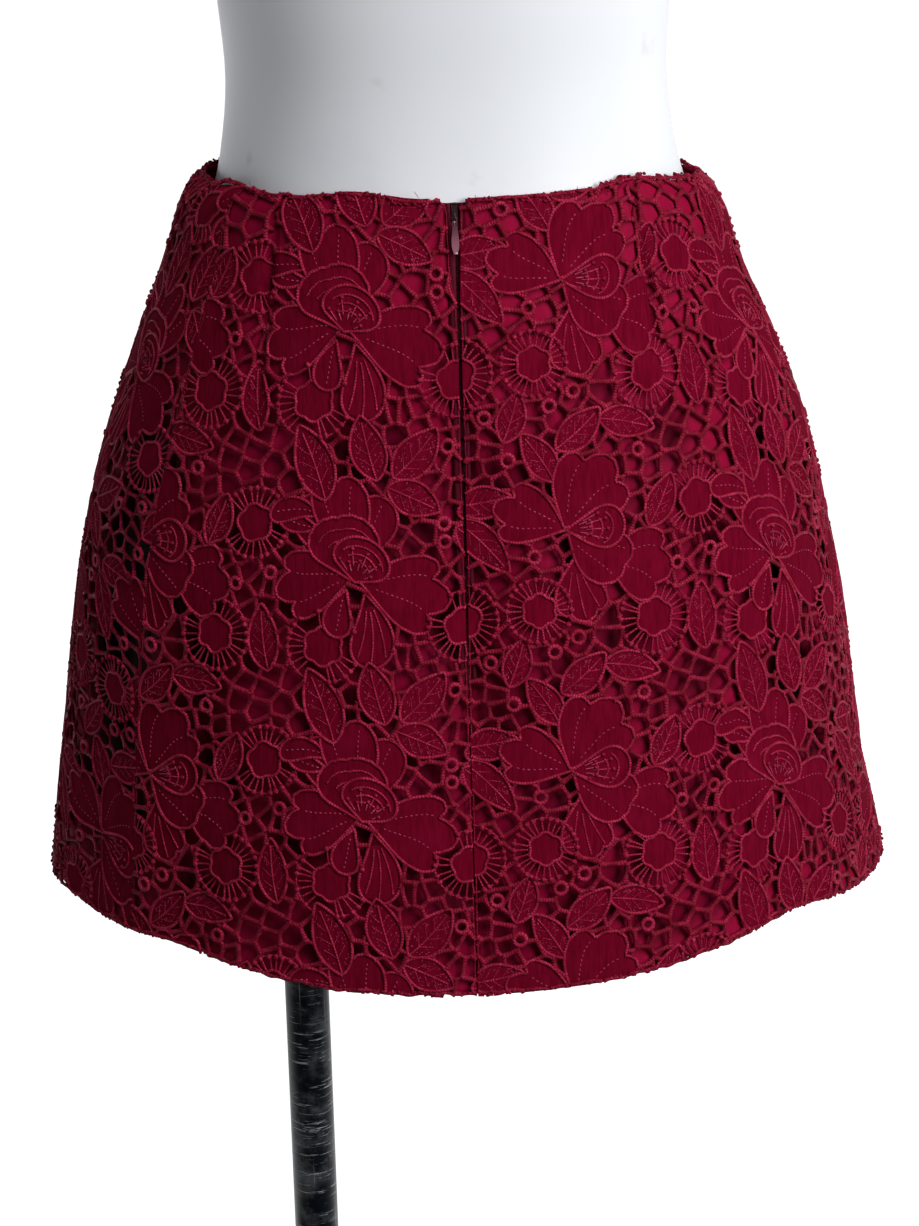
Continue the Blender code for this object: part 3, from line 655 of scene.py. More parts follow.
def lining_depth(share, angle):
    """How far the lining lies inside the lace's outer face: close at the waist, hollow beside the side seams."""
    side = np.abs(np.cos(np.radians(angle))) ** 3
    fall = np.minimum(share / 0.35, 1.0) ** 1.5 * (1 - 0.6 * side)
    ease = HANG_CLEAR * fall * np.clip((1 - share) / 0.05, 0.2, 1)
    depth = LACE_THICKNESS + (WAIST_CLEAR - SIDE_CLOSER * side) * MM + ease
    return sum((fold_height(hollow, share, angle) for hollow in HOLLOWS), depth)


def lining_lie(share, angle):
    """The lining's depth with its own slack: it swells softly into the lace's openings."""
    around, down = angle * 0.0030, share * SKIRT_LENGTH
    swell = ripple(around * SWELL_TURNS, down * SWELL_TURNS, (1, 2, 3, 4)) * SWELL
    slack = np.clip(ripple(around * SLACK_ROUND, down * SLACK_DOWN, (5, 6, 7, 9)) + 0.05, 0, 1) * SLACK
    slack = slack * np.clip(share * 3, 0, 1) * np.clip((1 - share) / 0.06, 0, 1)
    return lining_depth(share, angle) + LIE_CLEAR - swell + slack


def walled(name, outer, inner, material, turned_over=False):
    """A closed thin wall between two grids of points, laid in rows from the waist down."""
    high, wide = outer.shape[:2]
    back = high * wide
    faces = grid_faces(high, wide, wrap=False) + grid_faces(high, wide, back, wrap=False, flip=True)
    border = list(range(wide)) + [i * wide + wide - 1 for i in range(1, high)]
    border += [(high - 1) * wide + j for j in range(wide - 2, -1, -1)] + [i * wide for i in range(high - 2, 0, -1)]
    for here, there in zip(border, border[1:] + border[:1]):
        faces.append((there, here, back + here, back + there))
    faces = faces if turned_over else [face[::-1] for face in faces]
    return mesh_object(name, np.concatenate([outer.reshape(-1, 3), inner.reshape(-1, 3)]), faces, material)


def stored(mesh, title, values):
    """Stores numbers or places at a mesh's points under a name, for its material or its nodes."""
    kind, field = (("FLOAT", "value"), ("FLOAT_VECTOR", "vector"))[values.ndim - 1]
    mesh.attributes.new(title, kind, "POINT").data.foreach_set(field, values.astype(np.float32).ravel())


def cloth_shell(name, rows, start, end, columns, depth, thickness):
    """A closed thin wall of lining between two edges, laid under the skirt's surface."""
    share = np.asarray(rows, float)[:, None]
    first, last = start(share[:, 0])[:, None], end(share[:, 0])[:, None]
    angle = first + (last - first) * np.linspace(0, 1, columns)[None, :]
    share = np.broadcast_to(share, angle.shape)
    depths = depth(share, angle)
    (outer, _), (inner, _) = (on_skirt(share, angle, face) for face in (depths, depths + thickness))
    shell = walled(name, outer, inner, lining_cloth)
    flat = stacked(angle * 0.0028, -share * SKIRT_LENGTH, 0 * share).reshape(-1, 3)
    # The hollow value is painted shade: it darkens the lining's colour where the lining lies deep under the lace.
    hollow = np.clip((depths - PAINTED_SHADE_FROM) / PAINTED_SHADE_SPAN, 0, 1).ravel()
    stored(shell.data, "flat", np.concatenate([flat, flat]))
    stored(shell.data, "hollow", np.tile(hollow, 2))
    return shell


# Woven cloth: fine upright and level threads with uneven thickness, as a height and a tone.
woven, woven_in, woven_out = group("ShaderNodeTree", "woven_cloth", (
    ("Coordinates", "Vector"), ("Threads", "Float", 1100.0), ("Slub", "Float", 0.5),
), (("Height", "Float"), ("Tone", "Float")))
warp, weft = (
    noise(woven, woven_in["Coordinates"], woven_in["Threads"], 2.0, stretch=stretch)
    for stretch in ((1.0, 0.10, 1.0), (0.10, 1.0, 1.0))
)
slub = noise(woven, woven_in["Coordinates"], 1.0, 3.0, stretch=(420.0, 46.0, 420.0))
slubbed = node(woven, "ShaderNodeMix", {0: woven_in["Slub"], 2: warp, 3: slub}, data_type="FLOAT").outputs[0]
woven.links.new(maths(woven, "MAXIMUM", warp, weft), woven_out["Height"])
woven.links.new(ranged(woven, slubbed, 0.28, 0.72), woven_out["Tone"])


def woven_finish(name, threads, slub_share, blotches, colours, relief, **settings):
    """Dyed woven cloth on a piece's flat places: its tree and its colour, with its weave's bump fed already."""
    material, tree = principled(name, **settings)
    flat = node(tree, "ShaderNodeAttribute", attribute_name="flat").outputs["Vector"]
    weave = node(tree, "ShaderNodeGroup", {
        "Coordinates": flat, "Threads": threads, "Slub": slub_share,
    }, node_tree=woven).outputs
    dark, light, blotch = colours
    uneven = clouds(tree, flat, blotches[0], 0.5, blotches[1])
    colour = mixed(tree, uneven, mixed(tree, weave["Tone"], dark, light), blotch)
    feed(tree, Normal=bumped(tree, weave["Height"], *relief))
    return material, tree, colour


lining_cloth, lining_tree, lining_colour = woven_finish(
    "lining_crimson_poplin", 1500.0, 0.3, (55.0, 0.35),
    ((0.205, 0.0018, 0.022), (0.265, 0.0032, 0.033), (0.310, 0.0050, 0.044)), (0.25, 0.15), Roughness=0.6,
    Sheen_Weight=0.025, Sheen_Roughness=0.4, Sheen_Tint=(1.0, 0.2, 0.3, 1), Specular_IOR_Level=0.03,
)
# Painted shade: the lining's colour is darkened toward near-black where it lies deep under the lace, standing in for
# the shade in those hollows.
lining_painted_shade = node(lining_tree, "ShaderNodeAttribute", attribute_name="hollow").outputs["Fac"]
lining_unshaded_share = maths(lining_tree, "POWER", maths(lining_tree, "SUBTRACT", 1.0, lining_painted_shade), 1.8)
feed(lining_tree, Base_Color=mixed(lining_tree, lining_unshaded_share, (0.009, 0.0003, 0.0014), lining_colour))

LINING_TOP = 0.004
LINING_HEM = 1 - 0.4 * MM / SKIRT_LENGTH
ALLOWANCE = 9 * MM
SLIT_GAPS = (
    (0, 9.0 * MM), (0.006, 7.0 * MM), (0.012, 5.0 * MM), (TAPE_END - 0.02, 4.6 * MM),
    (TAPE_END + 0.02, SEAM_GAP / 2), (1, SEAM_GAP / 2),
)


def seam(angle, side):
    return lambda share: beside(angle, share, side * SEAM_GAP / 2)


def lining_slit(side):
    """The lining's edge at the centre back: laid over a zip tape, then running in to the seam below it."""
    shares, distances = zip(*SLIT_GAPS)
    return lambda share: beside(CENTRE_BACK, share, side * np.interp(share, shares, distances))


def allowance(name, centre, rows):
    """A seam's pressed-open allowances, as one strip behind it."""
    return cloth_shell(
        name, rows, *((lambda share, side=side: beside(centre, share, side * ALLOWANCE)) for side in (-1, 1)), 8,
        lambda share, angle: lining_lie(share, angle) + LINING_THICKNESS * 0.8, LINING_THICKNESS * 0.4,
    )


def joined(name, objects):
    """One object from several."""
    whole = objects[0]
    if len(objects) > 1:
        with bpy.context.temp_override(
            active_object=whole, selected_editable_objects=objects, selected_objects=objects,
        ):
            bpy.ops.object.join()
    whole.name = whole.data.name = name
    return whole


lining_rows = np.linspace(LINING_TOP, LINING_HEM, 120)
below_zip = np.linspace(TAPE_END + 0.01, LINING_HEM, 60)
LiningPanel = namedtuple("LiningPanel", "name cad_node start end columns flat area seams")
for panel in (
    LiningPanel(
        "lining_front_panel", "lining_front", seam(RIGHT_SEAM - 360, 1), seam(LEFT_SEAM, -1), 150, (0.769, 0.399),
        0.2360, ((RIGHT_SEAM - 360, lining_rows[::2]), (LEFT_SEAM, lining_rows[::2])),
    ),
    LiningPanel(
        "lining_left_back", "lining_back_left", seam(LEFT_SEAM, 1), lining_slit(-1), 62, (0.195, 0.401), 0.0600, (),
    ),
    LiningPanel(
        "lining_right_back", "lining_back_right", lining_slit(1), seam(RIGHT_SEAM, -1), 84, (0.264, 0.401),
        0.0815, ((CENTRE_BACK, below_zip),),
    ),
):
    shells = [cloth_shell(
        panel.name, lining_rows, panel.start, panel.end, panel.columns, lining_lie, LINING_THICKNESS * 0.6,
    )]
    shells += [allowance(f"{panel.name}_allowance_{centre:.0f}", centre, rows) for centre, rows in panel.seams]
    lining = joined(panel.name, shells)
    stands_for(lining, panel.cad_node)

# ---------------------------------------------------------------- the lace's chart
# Guipure lace: woven petals and leaves outlined in satin-stitched cord, with ray flowers, eyelets and a net of
# thin corded bars between them. One repeat is charted here in millimetres, x across and y up, and drawn flat.
REPEAT_WIDE, REPEAT_HIGH = 225.0, 122.0

Petal = namedtuple("Petal", "x y aim length spread fullness lobes notch sway stitches layer")
Leaf = namedtuple("Leaf", "x y aim length width sway layer")
RayFlower = namedtuple("RayFlower", "x y radius reach lobes turn layer")
Eyelet = namedtuple("Eyelet", "x y radius")

# A petal fans out from its root: aim and spread in degrees, a length, and scalloped lobes along its far edge.
CUP_BLOSSOM = (
    Petal(-3, 2, 126, 43, 46, 4.4, 1, 0, -8, 1, 1),
    Petal(2, 6, 58, 38, 50, 4.2, 1, 0, 8, 1, 1),
    Petal(-1, 3, 93, 49, 58, 4.4, 2, 0.10, 4, 2, 2),
    Petal(0, 0, 183, 40, 86, 4.6, 3, 0.19, 6, 2, 3),
    Petal(4, -2, -5, 45, 88, 4.6, 3, 0.20, -6, 2, 3),
    Petal(-3, -6, -116, 25, 58, 3.6, 1, 0, 10, 1, 2),
    Petal(6, -7, -72, 38, 58, 3.6, 1, 0, -16, 3, 2),
    Petal(-1, -1, 92, 33, 112, 4.6, 2, 0.06, 8, 0, 4),
    Petal(1, -2, 66, 23, 128, 5.0, 1, 0, 6, 0, 5),
    Petal(-14, 30, 146, 27, 46, 4.0, 1, 0, 26, 1, 1.8),
    Petal(-15, 24, 172, 23, 48, 4.0, 1, 0, -18, 1, 1.7),
)
SIDE_BLOSSOM = (
    Petal(0, 0, 155, 38, 80, 4.4, 3, 0.20, 5, 2, 3),
    Petal(-1, 1, 60, 42, 98, 4.6, 3, 0.17, -6, 2, 3),
    Petal(4, -14, -86, 33, 80, 4.2, 3, 0.10, 6, 3, 1),
    Petal(20, -15, -8, 36, 106, 4.6, 3, 0.18, -4, 2, 2),
    Petal(1, -2, -42, 36, 78, 4.4, 2, 0.08, 12, 2, 4),
    Petal(0, 0, -2, 30, 66, 4.8, 1, 0, 6, 0, 5),
)
CUP_HEART = (52.0, 66.0)
SIDE_HEART = (158.0, 86.0)
LEAVES = (
    Leaf(40, 104, 108, 40, 19, 12, 2),
    Leaf(66, 115, 103, 32, 18, -10, 2),
    Leaf(74, 117, 48, 33, 18, 14, 2),
    Leaf(71, 112, -25, 28, 17, -12, 2),
    Leaf(154, 126, 41, 30, 16, 16, 2),
    Leaf(153, 110, 124, 29, 15, 12, 2),
    Leaf(105, 99, 10, 27, 16, 10, 1),
    Leaf(104, 92, -46, 37, 16, -14, 1),
    Leaf(201, 86, 63, 28, 15, 14, 2),
    Leaf(7, 20, 94, 35, 16, -16, 1),
    Leaf(176, 18, -12, 30, 15, -16, 1),
    Leaf(128, 8, 72, 26, 14, 12, 1),
)
RAY_FLOWERS = (
    RayFlower(36, 31, 10.2, 18.4, 6, 10, 1.5),
    RayFlower(106, 42, 9.6, 17.6, 5, 40, 1.5),
    RayFlower(144, 46, 8.8, 16.2, 6, 0, 1.5),
    RayFlower(203, 40, 10.0, 18.6, 6, 20, 1.5),
    RayFlower(3, 96, 9.8, 17.8, 5, 30, 1.5),
)
EYELETS = (
    Eyelet(51, 6, 3.0), Eyelet(101, 10, 3.1), Eyelet(98, 94, 3.0), Eyelet(98, 85, 2.9), Eyelet(130, 121, 3.1),
    Eyelet(151, 25, 3.1), Eyelet(196, 2, 3.0), Eyelet(142, 73, 3.0), Eyelet(163, 32, 3.1),
    Eyelet(185, 116, 3.0), Eyelet(216, 66, 2.9), Eyelet(10, 70, 2.9), Eyelet(119, 20, 2.9),
)
RAY_COUNT = 26
SCALLOP_WIDE, SCALLOP_DEEP = 5.2, 0.55
LAYER_LIFT = 0.05  # each layer rides this much higher
REPEAT_SIZE = np.array([REPEAT_WIDE, REPEAT_HIGH])


def spaced(points, step, closed=False):
    """The same line with its points this far apart."""
    points = np.asarray(points, float)
    if closed:
        points = np.vstack([points, points[:1]])
    run = np.concatenate([[0], np.cumsum(np.linalg.norm(np.diff(points, axis=0), axis=1))])
    count = max(int(round(run[-1] / step)), 3 if closed else 1)
    at = np.linspace(0, run[-1], count + 1)
    line = np.stack([np.interp(at, run, column) for column in points.T], axis=1)
    return line[:-1] if closed else line


def length_of(line):
    return np.linalg.norm(np.diff(line, axis=0), axis=1).sum()


def ring(x, y, reach, count):
    """Points round a centre; the reach may change round it."""
    angle = np.linspace(0, 2 * np.pi, count, endpoint=False)
    return stacked(x + reach * np.cos(angle), y + reach * np.sin(angle))


def petal_point(petal, turn, share=1.0):
    """A point of a petal: turn is -1 to 1 across its spread, share 0 to 1 from its root to its edge."""
    reach = petal.length * np.cos(np.clip(turn, -1, 1) * np.pi / 2) ** (1 / petal.fullness)
    if petal.lobes > 1:
        lobe = np.abs(np.sin(petal.lobes * np.pi * (turn + 1) / 2)) ** 0.7
        reach = reach * (1 - petal.notch * (1 - lobe))
        scallops = round(petal.length * np.radians(petal.spread) / SCALLOP_WIDE)
        scallop = np.abs(np.sin(scallops * np.pi * (turn + 1) / 2))
        reach = reach - SCALLOP_DEEP * (1 - scallop) * (np.abs(turn) < 0.9)
    reach = reach * share
    way = np.radians(petal.aim + turn * petal.spread / 2 + petal.sway * reach / petal.length)
    return stacked(petal.x + reach * np.cos(way), petal.y + reach * np.sin(way))


def leaf_point(leaf, ahead, aside):
    """A point of a leaf: ahead is 0 to 1 along its midrib, aside -1 to 1 across it."""
    bend = np.radians(leaf.sway)
    chord = np.radians(leaf.aim) + bend * (ahead - 1) / 2
    way = np.radians(leaf.aim) + bend * (ahead - 0.5)
    half = aside * leaf.width / 2 * np.sin(np.pi * np.clip(ahead, 0, 1) ** 0.85) ** 0.8
    return stacked(
        leaf.x + leaf.length * ahead * np.cos(chord) - half * np.sin(way),
        leaf.y + leaf.length * ahead * np.sin(chord) + half * np.cos(way),
    )


def outline(motif):
    """A motif's closed edge."""
    if isinstance(motif, Petal):
        return petal_point(motif, np.linspace(-1, 1, 240))
    if isinstance(motif, Leaf):
        ahead = np.linspace(0, 1, 60)
        return np.vstack([leaf_point(motif, ahead, 1.0), leaf_point(motif, ahead[::-1], -1.0)[1:-1]])
    angle = np.linspace(0, 2 * np.pi, 180, endpoint=False)
    lobe = np.abs(np.sin(motif.lobes * angle / 2 + np.radians(motif.turn)))
    return ring(motif.x, motif.y, motif.radius * (0.84 + 0.16 * lobe), len(angle))


def blossom(petals, heart):
    return [petal._replace(x=petal.x + heart[0], y=petal.y + heart[1]) for petal in petals]


# Motifs from the lowest layer up. A motif's rank is its place in this list, counted from 1.
MOTIFS = sorted(
    [*blossom(CUP_BLOSSOM, CUP_HEART), *blossom(SIDE_BLOSSOM, SIDE_HEART), *LEAVES, *RAY_FLOWERS],
    key=lambda motif: motif.layer,
)
EDGES = [spaced(outline(motif), 0.75, closed=True) for motif in MOTIFS]
HERE = (0.0, 0.0)
NEIGHBOURS = [(i * REPEAT_WIDE, j * REPEAT_HIGH) for i in (-1, 0, 1) for j in (-1, 0, 1)]

# Which motif lies on top at each place of the repeat, 0 where there is only net.
COVER_STEP = 0.3
cover_x = np.arange(0, REPEAT_WIDE, COVER_STEP) + COVER_STEP / 2
cover_y = np.arange(0, REPEAT_HIGH, COVER_STEP) + COVER_STEP / 2
cover = np.zeros((len(cover_y), len(cover_x)), int)


def inside(x, y, edge):
    """Which points lie inside a closed outline."""
    found = np.zeros(x.shape, bool)
    for (x1, y1), (x2, y2) in zip(edge, np.roll(edge, -1, axis=0)):
        if y1 != y2:
            found ^= ((y1 > y) != (y2 > y)) & (x < (x2 - x1) * (y - y1) / (y2 - y1) + x1)
    return found


for rank, edge in enumerate(EDGES, 1):
    coarse = spaced(edge, 1.2, closed=True)
    for shift in NEIGHBOURS:
        moved = coarse + shift
        low, high = moved.min(axis=0), moved.max(axis=0)
        columns = np.flatnonzero((cover_x > low[0]) & (cover_x < high[0]))
        rows = np.flatnonzero((cover_y > low[1]) & (cover_y < high[1]))
        if len(rows) and len(columns):
            part = cover[rows[0]:rows[-1] + 1, columns[0]:columns[-1] + 1]
            part[inside(*np.meshgrid(cover_x[columns], cover_y[rows]), moved)] = rank


def cover_at(points):
    """The rank of the motif on top at these places of the chart."""
    i = (np.mod(points[:, 1], REPEAT_HIGH) / COVER_STEP).astype(int) % cover.shape[0]
    j = (np.mod(points[:, 0], REPEAT_WIDE) / COVER_STEP).astype(int) % cover.shape[1]
    return cover[i, j]


def runs(shown, closed):
    """Index lists of the unbroken stretches where shown is true; a closed line that shows whole is one stretch."""
    order = np.arange(len(shown))
    if shown.all():
        return [order]
    if closed:
        order = np.roll(order, -int(np.flatnonzero(~shown)[0]))
    change = np.diff(np.concatenate([[0], shown[order].astype(int), [0]]))
    return [order[a:b] for a, b in zip(np.flatnonzero(change == 1), np.flatnonzero(change == -1))]


# Cords: the height is how far above the lace's middle a cord rides.
ChartCord = namedtuple("ChartCord", "points closed radius height")
CORD_RADIUS, VEIN_RADIUS, SIDE_VEIN_RADIUS, EYELET_RADIUS, RAY_RADIUS, BAR_RADIUS = 0.84, 0.52, 0.24, 1.2, 0.50, 1.22
CORD_STEP = 1.5
chart_cords, chart_bars = [], []


def add_cord(line, rank, closed, radius, height, own_only=False, least=2.0):
    """Adds a line to the chart where nothing of a higher rank covers it."""
    owner = cover_at(line)
    for run in runs(owner == rank if own_only else owner <= rank, closed):
        whole = closed and len(run) == len(line)
        if length_of(line[run]) >= least:
            chart_cords.append(ChartCord(spaced(line[run], CORD_STEP, whole), whole, radius, height))


for rank, (motif, edge) in enumerate(zip(MOTIFS, EDGES), 1):
    height = LAYER_LIFT * motif.layer
    add_cord(edge, rank, True, CORD_RADIUS, height)
    veins = []
    if isinstance(motif, Leaf):
        add_cord(leaf_point(motif, np.linspace(0.03, 0.88, 24), 0.0), rank, False, VEIN_RADIUS, height, True)
        for side in (-1, 1):
            for start in (0.22, 0.40, 0.58):
                vein = leaf_point(motif, np.linspace(start, start + 0.15, 8), side * np.linspace(0.02, 0.62, 8))
                add_cord(vein, rank, False, SIDE_VEIN_RADIUS, height, True, 1.2)
    elif isinstance(motif, Petal) and motif.layer >= 4 and not motif.stitches:
        for share, reach in ((0.80, 0.72), (0.62, 0.60), (0.45, 0.50)):
            veins.append(petal_point(motif, np.linspace(-reach, reach * 0.8, 40), share))
    elif isinstance(motif, Petal) and motif.stitches == 3:
        veins = [petal_point(motif, turn, np.linspace(0.25, 0.93, 30)) for turn in (-0.42, 0.0, 0.42)]
    for vein in veins:
        add_cord(vein, rank, False, VEIN_RADIUS, height, True)

for eyelet in EYELETS:
    rim = ring(eyelet.x, eyelet.y, eyelet.radius, 16)
    if (cover_at(rim) == 0).all():
        chart_cords.append(ChartCord(rim, True, EYELET_RADIUS, 0.2))
for flower in RAY_FLOWERS:
    rim = ring(flower.x, flower.y, flower.reach, 90)
    add_cord(rim, MOTIFS.index(flower) + 1, True, RAY_RADIUS, -0.1)

# Small stitches: a start, an end, a half width and a height, for running stitches, seed stitches and knots.
ChartStitch = namedtuple("ChartStitch", "start end half_width height")
STITCH_PITCH, STITCH_SHARE = 2.5, 0.62
SEEDS_A_LEAF = 46
chart_stitches, chart_knots = [], []
dice = np.random.default_rng(41)


def add_stitches(line, rank, height):
    """Running stitches along a line, where its own motif shows."""
    size = length_of(line)
    line = spaced(line, size / max(int(size / STITCH_PITCH), 1) / 2)
    for a, b in zip(line[:-1:2], line[1::2]):
        ends = np.array([a, a + (b - a) * 2 * STITCH_SHARE])
        if (cover_at(ends) == rank).all():
            chart_stitches.append(ChartStitch(*ends, 0.45, height))


def heart_stitches(petal, height):
    """A fan of long stitches in a blossom's innermost petal, each with a knot at its tip."""
    for k in range(8):
        turn = (k - 3.5) / 4.6 + dice.uniform(-0.05, 0.05)
        ends = petal_point(petal, turn, np.array([0.12, 0.46 + 0.26 * (k % 2) + dice.uniform(-0.05, 0.05)]))
        chart_stitches.append(ChartStitch(ends[0] * 0.7 + ends[1] * 0.3, ends[1], 0.42, height + 0.16))
        chart_knots.append(ChartStitch(ends[1], ends[1] + (0.1, 0), 1.05, height + 0.30))


def seed_stitches(leaf, rank, height):
    """Short stitches scattered over a leaf, lying roughly along it."""
    for k in range(SEEDS_A_LEAF):
        ahead, aside = dice.uniform(0.12, 0.9), dice.choice((-1, 1)) * dice.uniform(0.25, 0.80)
        way = math.radians(leaf.aim + dice.uniform(-40, 40))
        ends = leaf_point(leaf, ahead, aside) + np.array([[-0.5], [0.5]]) * [math.cos(way), math.sin(way)]
        if (cover_at(ends) == rank).all():
            chart_stitches.append(ChartStitch(*ends, 0.26, height))


def rays(flower, rank):
    """Cords from a ray flower's heart out to its rim, each with a knot over the rim."""
    middle = np.array([flower.x, flower.y])
    for k in range(RAY_COUNT):
        angle = 2 * math.pi * (k + dice.uniform(-0.2, 0.2)) / RAY_COUNT
        way = np.array([math.cos(angle), math.sin(angle)])
        near, far = flower.radius + dice.uniform(-0.4, 0.2), flower.reach - dice.uniform(0.8, 1.4)
        ends = middle + np.array([[near], [far]]) * way
        if (cover_at(ends) <= rank).all():
            chart_cords.append(ChartCord(ends, False, RAY_RADIUS, 0.0))
            knot = middle + np.array([[flower.reach - 1.7], [flower.reach + 1.1]]) * way
            chart_knots.append(ChartStitch(*knot, 1.5, 0.75))


for rank, motif in enumerate(MOTIFS, 1):
    height = LAYER_LIFT * motif.layer
    if isinstance(motif, Petal):
        if motif.stitches in (1, 2):
            curve = np.linspace(0, 1, 30)
            for turn in ((0.0,), (-0.34, 0.36))[motif.stitches - 1]:
                line = petal_point(motif, turn + 0.10 * np.sin(curve * 3), 0.22 + 0.70 * curve)
                add_stitches(line, rank, height + 0.08)
        if motif.layer == 5:
            heart_stitches(motif, height)
    elif isinstance(motif, Leaf):
        seed_stitches(motif, rank, height)
    else:
        rays(motif, rank)

# The net: a loose scatter of cells, relaxed once so that they stay irregular, whose borders become the bars.
CELL = 11.2
ROW_PITCH = 0.87  # of a cell's width, as rows of cells sit between each other
grid_rows, grid_columns = int(round(REPEAT_HIGH / (CELL * ROW_PITCH))), int(round(REPEAT_WIDE / CELL))


def wrapped(apart):
    """Gaps between places of the chart, taken the short way round the repeat."""
    return apart - np.round(apart / REPEAT_SIZE) * REPEAT_SIZE


seeds = np.array([
    ((j + 0.5 * (i % 2)) * REPEAT_WIDE / grid_columns, (i + 0.5) * REPEAT_HIGH / grid_rows)
    for i in range(grid_rows) for j in range(grid_columns)
])
seeds = seeds + dice.uniform(-0.55, 0.55, seeds.shape) * CELL
sample_x, sample_y = np.meshgrid(np.arange(0.75, REPEAT_WIDE, 1.5), np.arange(0.75, REPEAT_HIGH, 1.5))
samples = stacked(sample_x.ravel(), sample_y.ravel())
apart = wrapped(samples[:, None, :] - seeds[None, :, :])
nearest = (apart**2).sum(axis=-1).argmin(axis=1)
offset = apart[np.arange(len(samples)), nearest]
count = np.maximum(np.bincount(nearest, minlength=len(seeds)), 1)[:, None]
seeds = seeds + np.stack([np.bincount(nearest, column, len(seeds)) for column in offset.T], axis=-1) / count
around = np.concatenate([seeds + shift for shift in NEIGHBOURS])
around = around[((around > -3 * CELL) & (around < REPEAT_SIZE + 3 * CELL)).all(axis=1)]
net_points, _, net_faces, _, _, _ = delaunay_2d_cdt([Vector(p) for p in around], [], [], 0, 1e-7)
net_triangles = np.array([face for face in net_faces if len(face) == 3])
trio = [np.array([tuple(p) for p in net_points])[net_triangles[:, k]] for k in range(3)]


def about(values, axis):
    """Each corner's value times the gap between the other two corners along an axis, added up."""
    return sum(values[k] * (trio[(k + 1) % 3][:, axis] - trio[(k + 2) % 3][:, axis]) for k in range(3))


squares = [(corner**2).sum(axis=1) for corner in trio]
twice = 2 * about([corner[:, 0] for corner in trio], 1)
centres = stacked(about(squares, 1) / twice, -about(squares, 0) / twice)
sides = {}
for t, face in enumerate(net_triangles):
    for k in range(3):
        sides.setdefault(tuple(sorted((int(face[k]), int(face[(k + 1) % 3])))), []).append(t)
holes = [(eyelet.x, eyelet.y, eyelet.radius) for eyelet in EYELETS]
holes += [(flower.x, flower.y, flower.reach) for flower in RAY_FLOWERS]


def add_bars(first, last):
    """Bars between two of the net's corners, where no motif or hole lies; they flare where they join."""
    line = spaced([first, last], 0.6)
    shown = cover_at(line) == 0
    for x, y, radius in holes:
        shown &= (wrapped(line - (x, y)) ** 2).sum(axis=1) > radius**2
    for run in runs(shown, False):
        piece = line[max(run[0] - 1, 0):min(run[-1] + 1, len(line) - 1) + 1]
        long = np.linalg.norm(piece[-1] - piece[0])
        if long > 1.0:
            piece = spaced(piece, long / 4 if long > 3 else long / 2)
            flare = (2 * np.abs(np.linspace(0, 1, len(piece)) - 0.5)) ** 2
            whole = np.clip(long / 6, 0.3, 1)
            radius = BAR_RADIUS * (0.65 + 0.35 * whole) * (1 + 0.5 * whole * flare)
            chart_bars.append(ChartCord(piece, False, radius, 0.0))


for pair in sides.values():
    if len(pair) == 2:
        first, last = centres[pair]
        middle = (first + last) / 2
        if ((0 <= middle) & (middle < REPEAT_SIZE)).all() and np.linalg.norm(last - first) >= 0.5:
            add_bars(first, last)

# The woven motifs of one repeat as triangles: every edge is kept, and each triangle belongs to the motif on top.
CLOTH_STEP, CLOTH_CELL, CLOTH_CLEAR = 2.0, 6.5, 2.4
cloth_points, cloth_faces, cloth_rank = [], [], []
every_edge = np.concatenate(EDGES)
base_low, base_high = every_edge.min(axis=0), every_edge.max(axis=0)
for shift in sorted(NEIGHBOURS, key=lambda s: s != HERE):
    for rank, edge in enumerate(EDGES, 1):
        moved = edge + shift
        if ((moved.max(axis=0) > base_low) & (moved.min(axis=0) < base_high)).all():
            border = spaced(moved, CLOTH_STEP, closed=True)
            cloth_faces.append(list(range(len(cloth_points), len(cloth_points) + len(border))))
            cloth_rank.append(rank if shift == HERE else -rank)
            cloth_points += [tuple(p) for p in border]
border_points = np.array(cloth_points)


def from_border(points):
    """The square of each point's distance from the nearest point of an edge."""
    return np.array([((border_points - point) ** 2).sum(axis=1).min() for point in points])


fill_x, fill_y = np.meshgrid(
    np.arange(base_low[0], base_high[0], CLOTH_CELL), np.arange(base_low[1], base_high[1], CLOTH_CELL * ROW_PITCH),
)
fill_x = fill_x + (np.arange(fill_x.shape[0])[:, None] % 2) * CLOTH_CELL / 2
fill = stacked(fill_x.ravel(), fill_y.ravel())
fill = fill + dice.uniform(-0.12, 0.12, fill.shape) * CLOTH_CELL
cloth_points += [tuple(p) for p in fill[from_border(fill) > CLOTH_CLEAR**2]]
flat_points, _, flat_faces, _, _, flat_owner = delaunay_2d_cdt(
    [Vector(p) for p in cloth_points], [], cloth_faces, 1, 1e-6,
)
kept_faces, kept_rank = [], []
for face, owners in zip(flat_faces, flat_owner):
    top = max((cloth_rank[o] for o in owners), key=abs, default=0)
    if top > 0:
        kept_faces += [(face[0], face[k], face[k + 1]) for k in range(1, len(face) - 1)]
        kept_rank += [top] * (len(face) - 2)
used, back = np.unique(np.array(kept_faces), return_inverse=True)
cloth_points, cloth_triangles = np.array([tuple(p) for p in flat_points])[used], back.reshape(-1, 3)
on_edge = from_border(cloth_points) < 0.05
layer_of = np.array([0.0] + [motif.layer for motif in MOTIFS])
cloth_layer = np.zeros(len(cloth_points))
np.maximum.at(cloth_layer, cloth_triangles.ravel(), np.repeat(layer_of[kept_rank], 3))

# ---------------------------------------------------------------- the lace panels
# The lace is cut as a front and two backs, with the chart's upright along the centre back and centre front. Each
# panel's chart is laid on the skirt as flat cloth lies on a cone, trimmed at its seams, waist and hem, then given
# its thickness. Satin cord, bars, stitches and knots are grown along the trimmed lines with Geometry Nodes.
CONE = 0.530  # from the waist edge up to the point that the panels' straight sides run to, along the cloth
ARCS = np.linspace(-0.45, 0.45, 1801)
SLANTS = np.linspace(0, 0.42, 421)


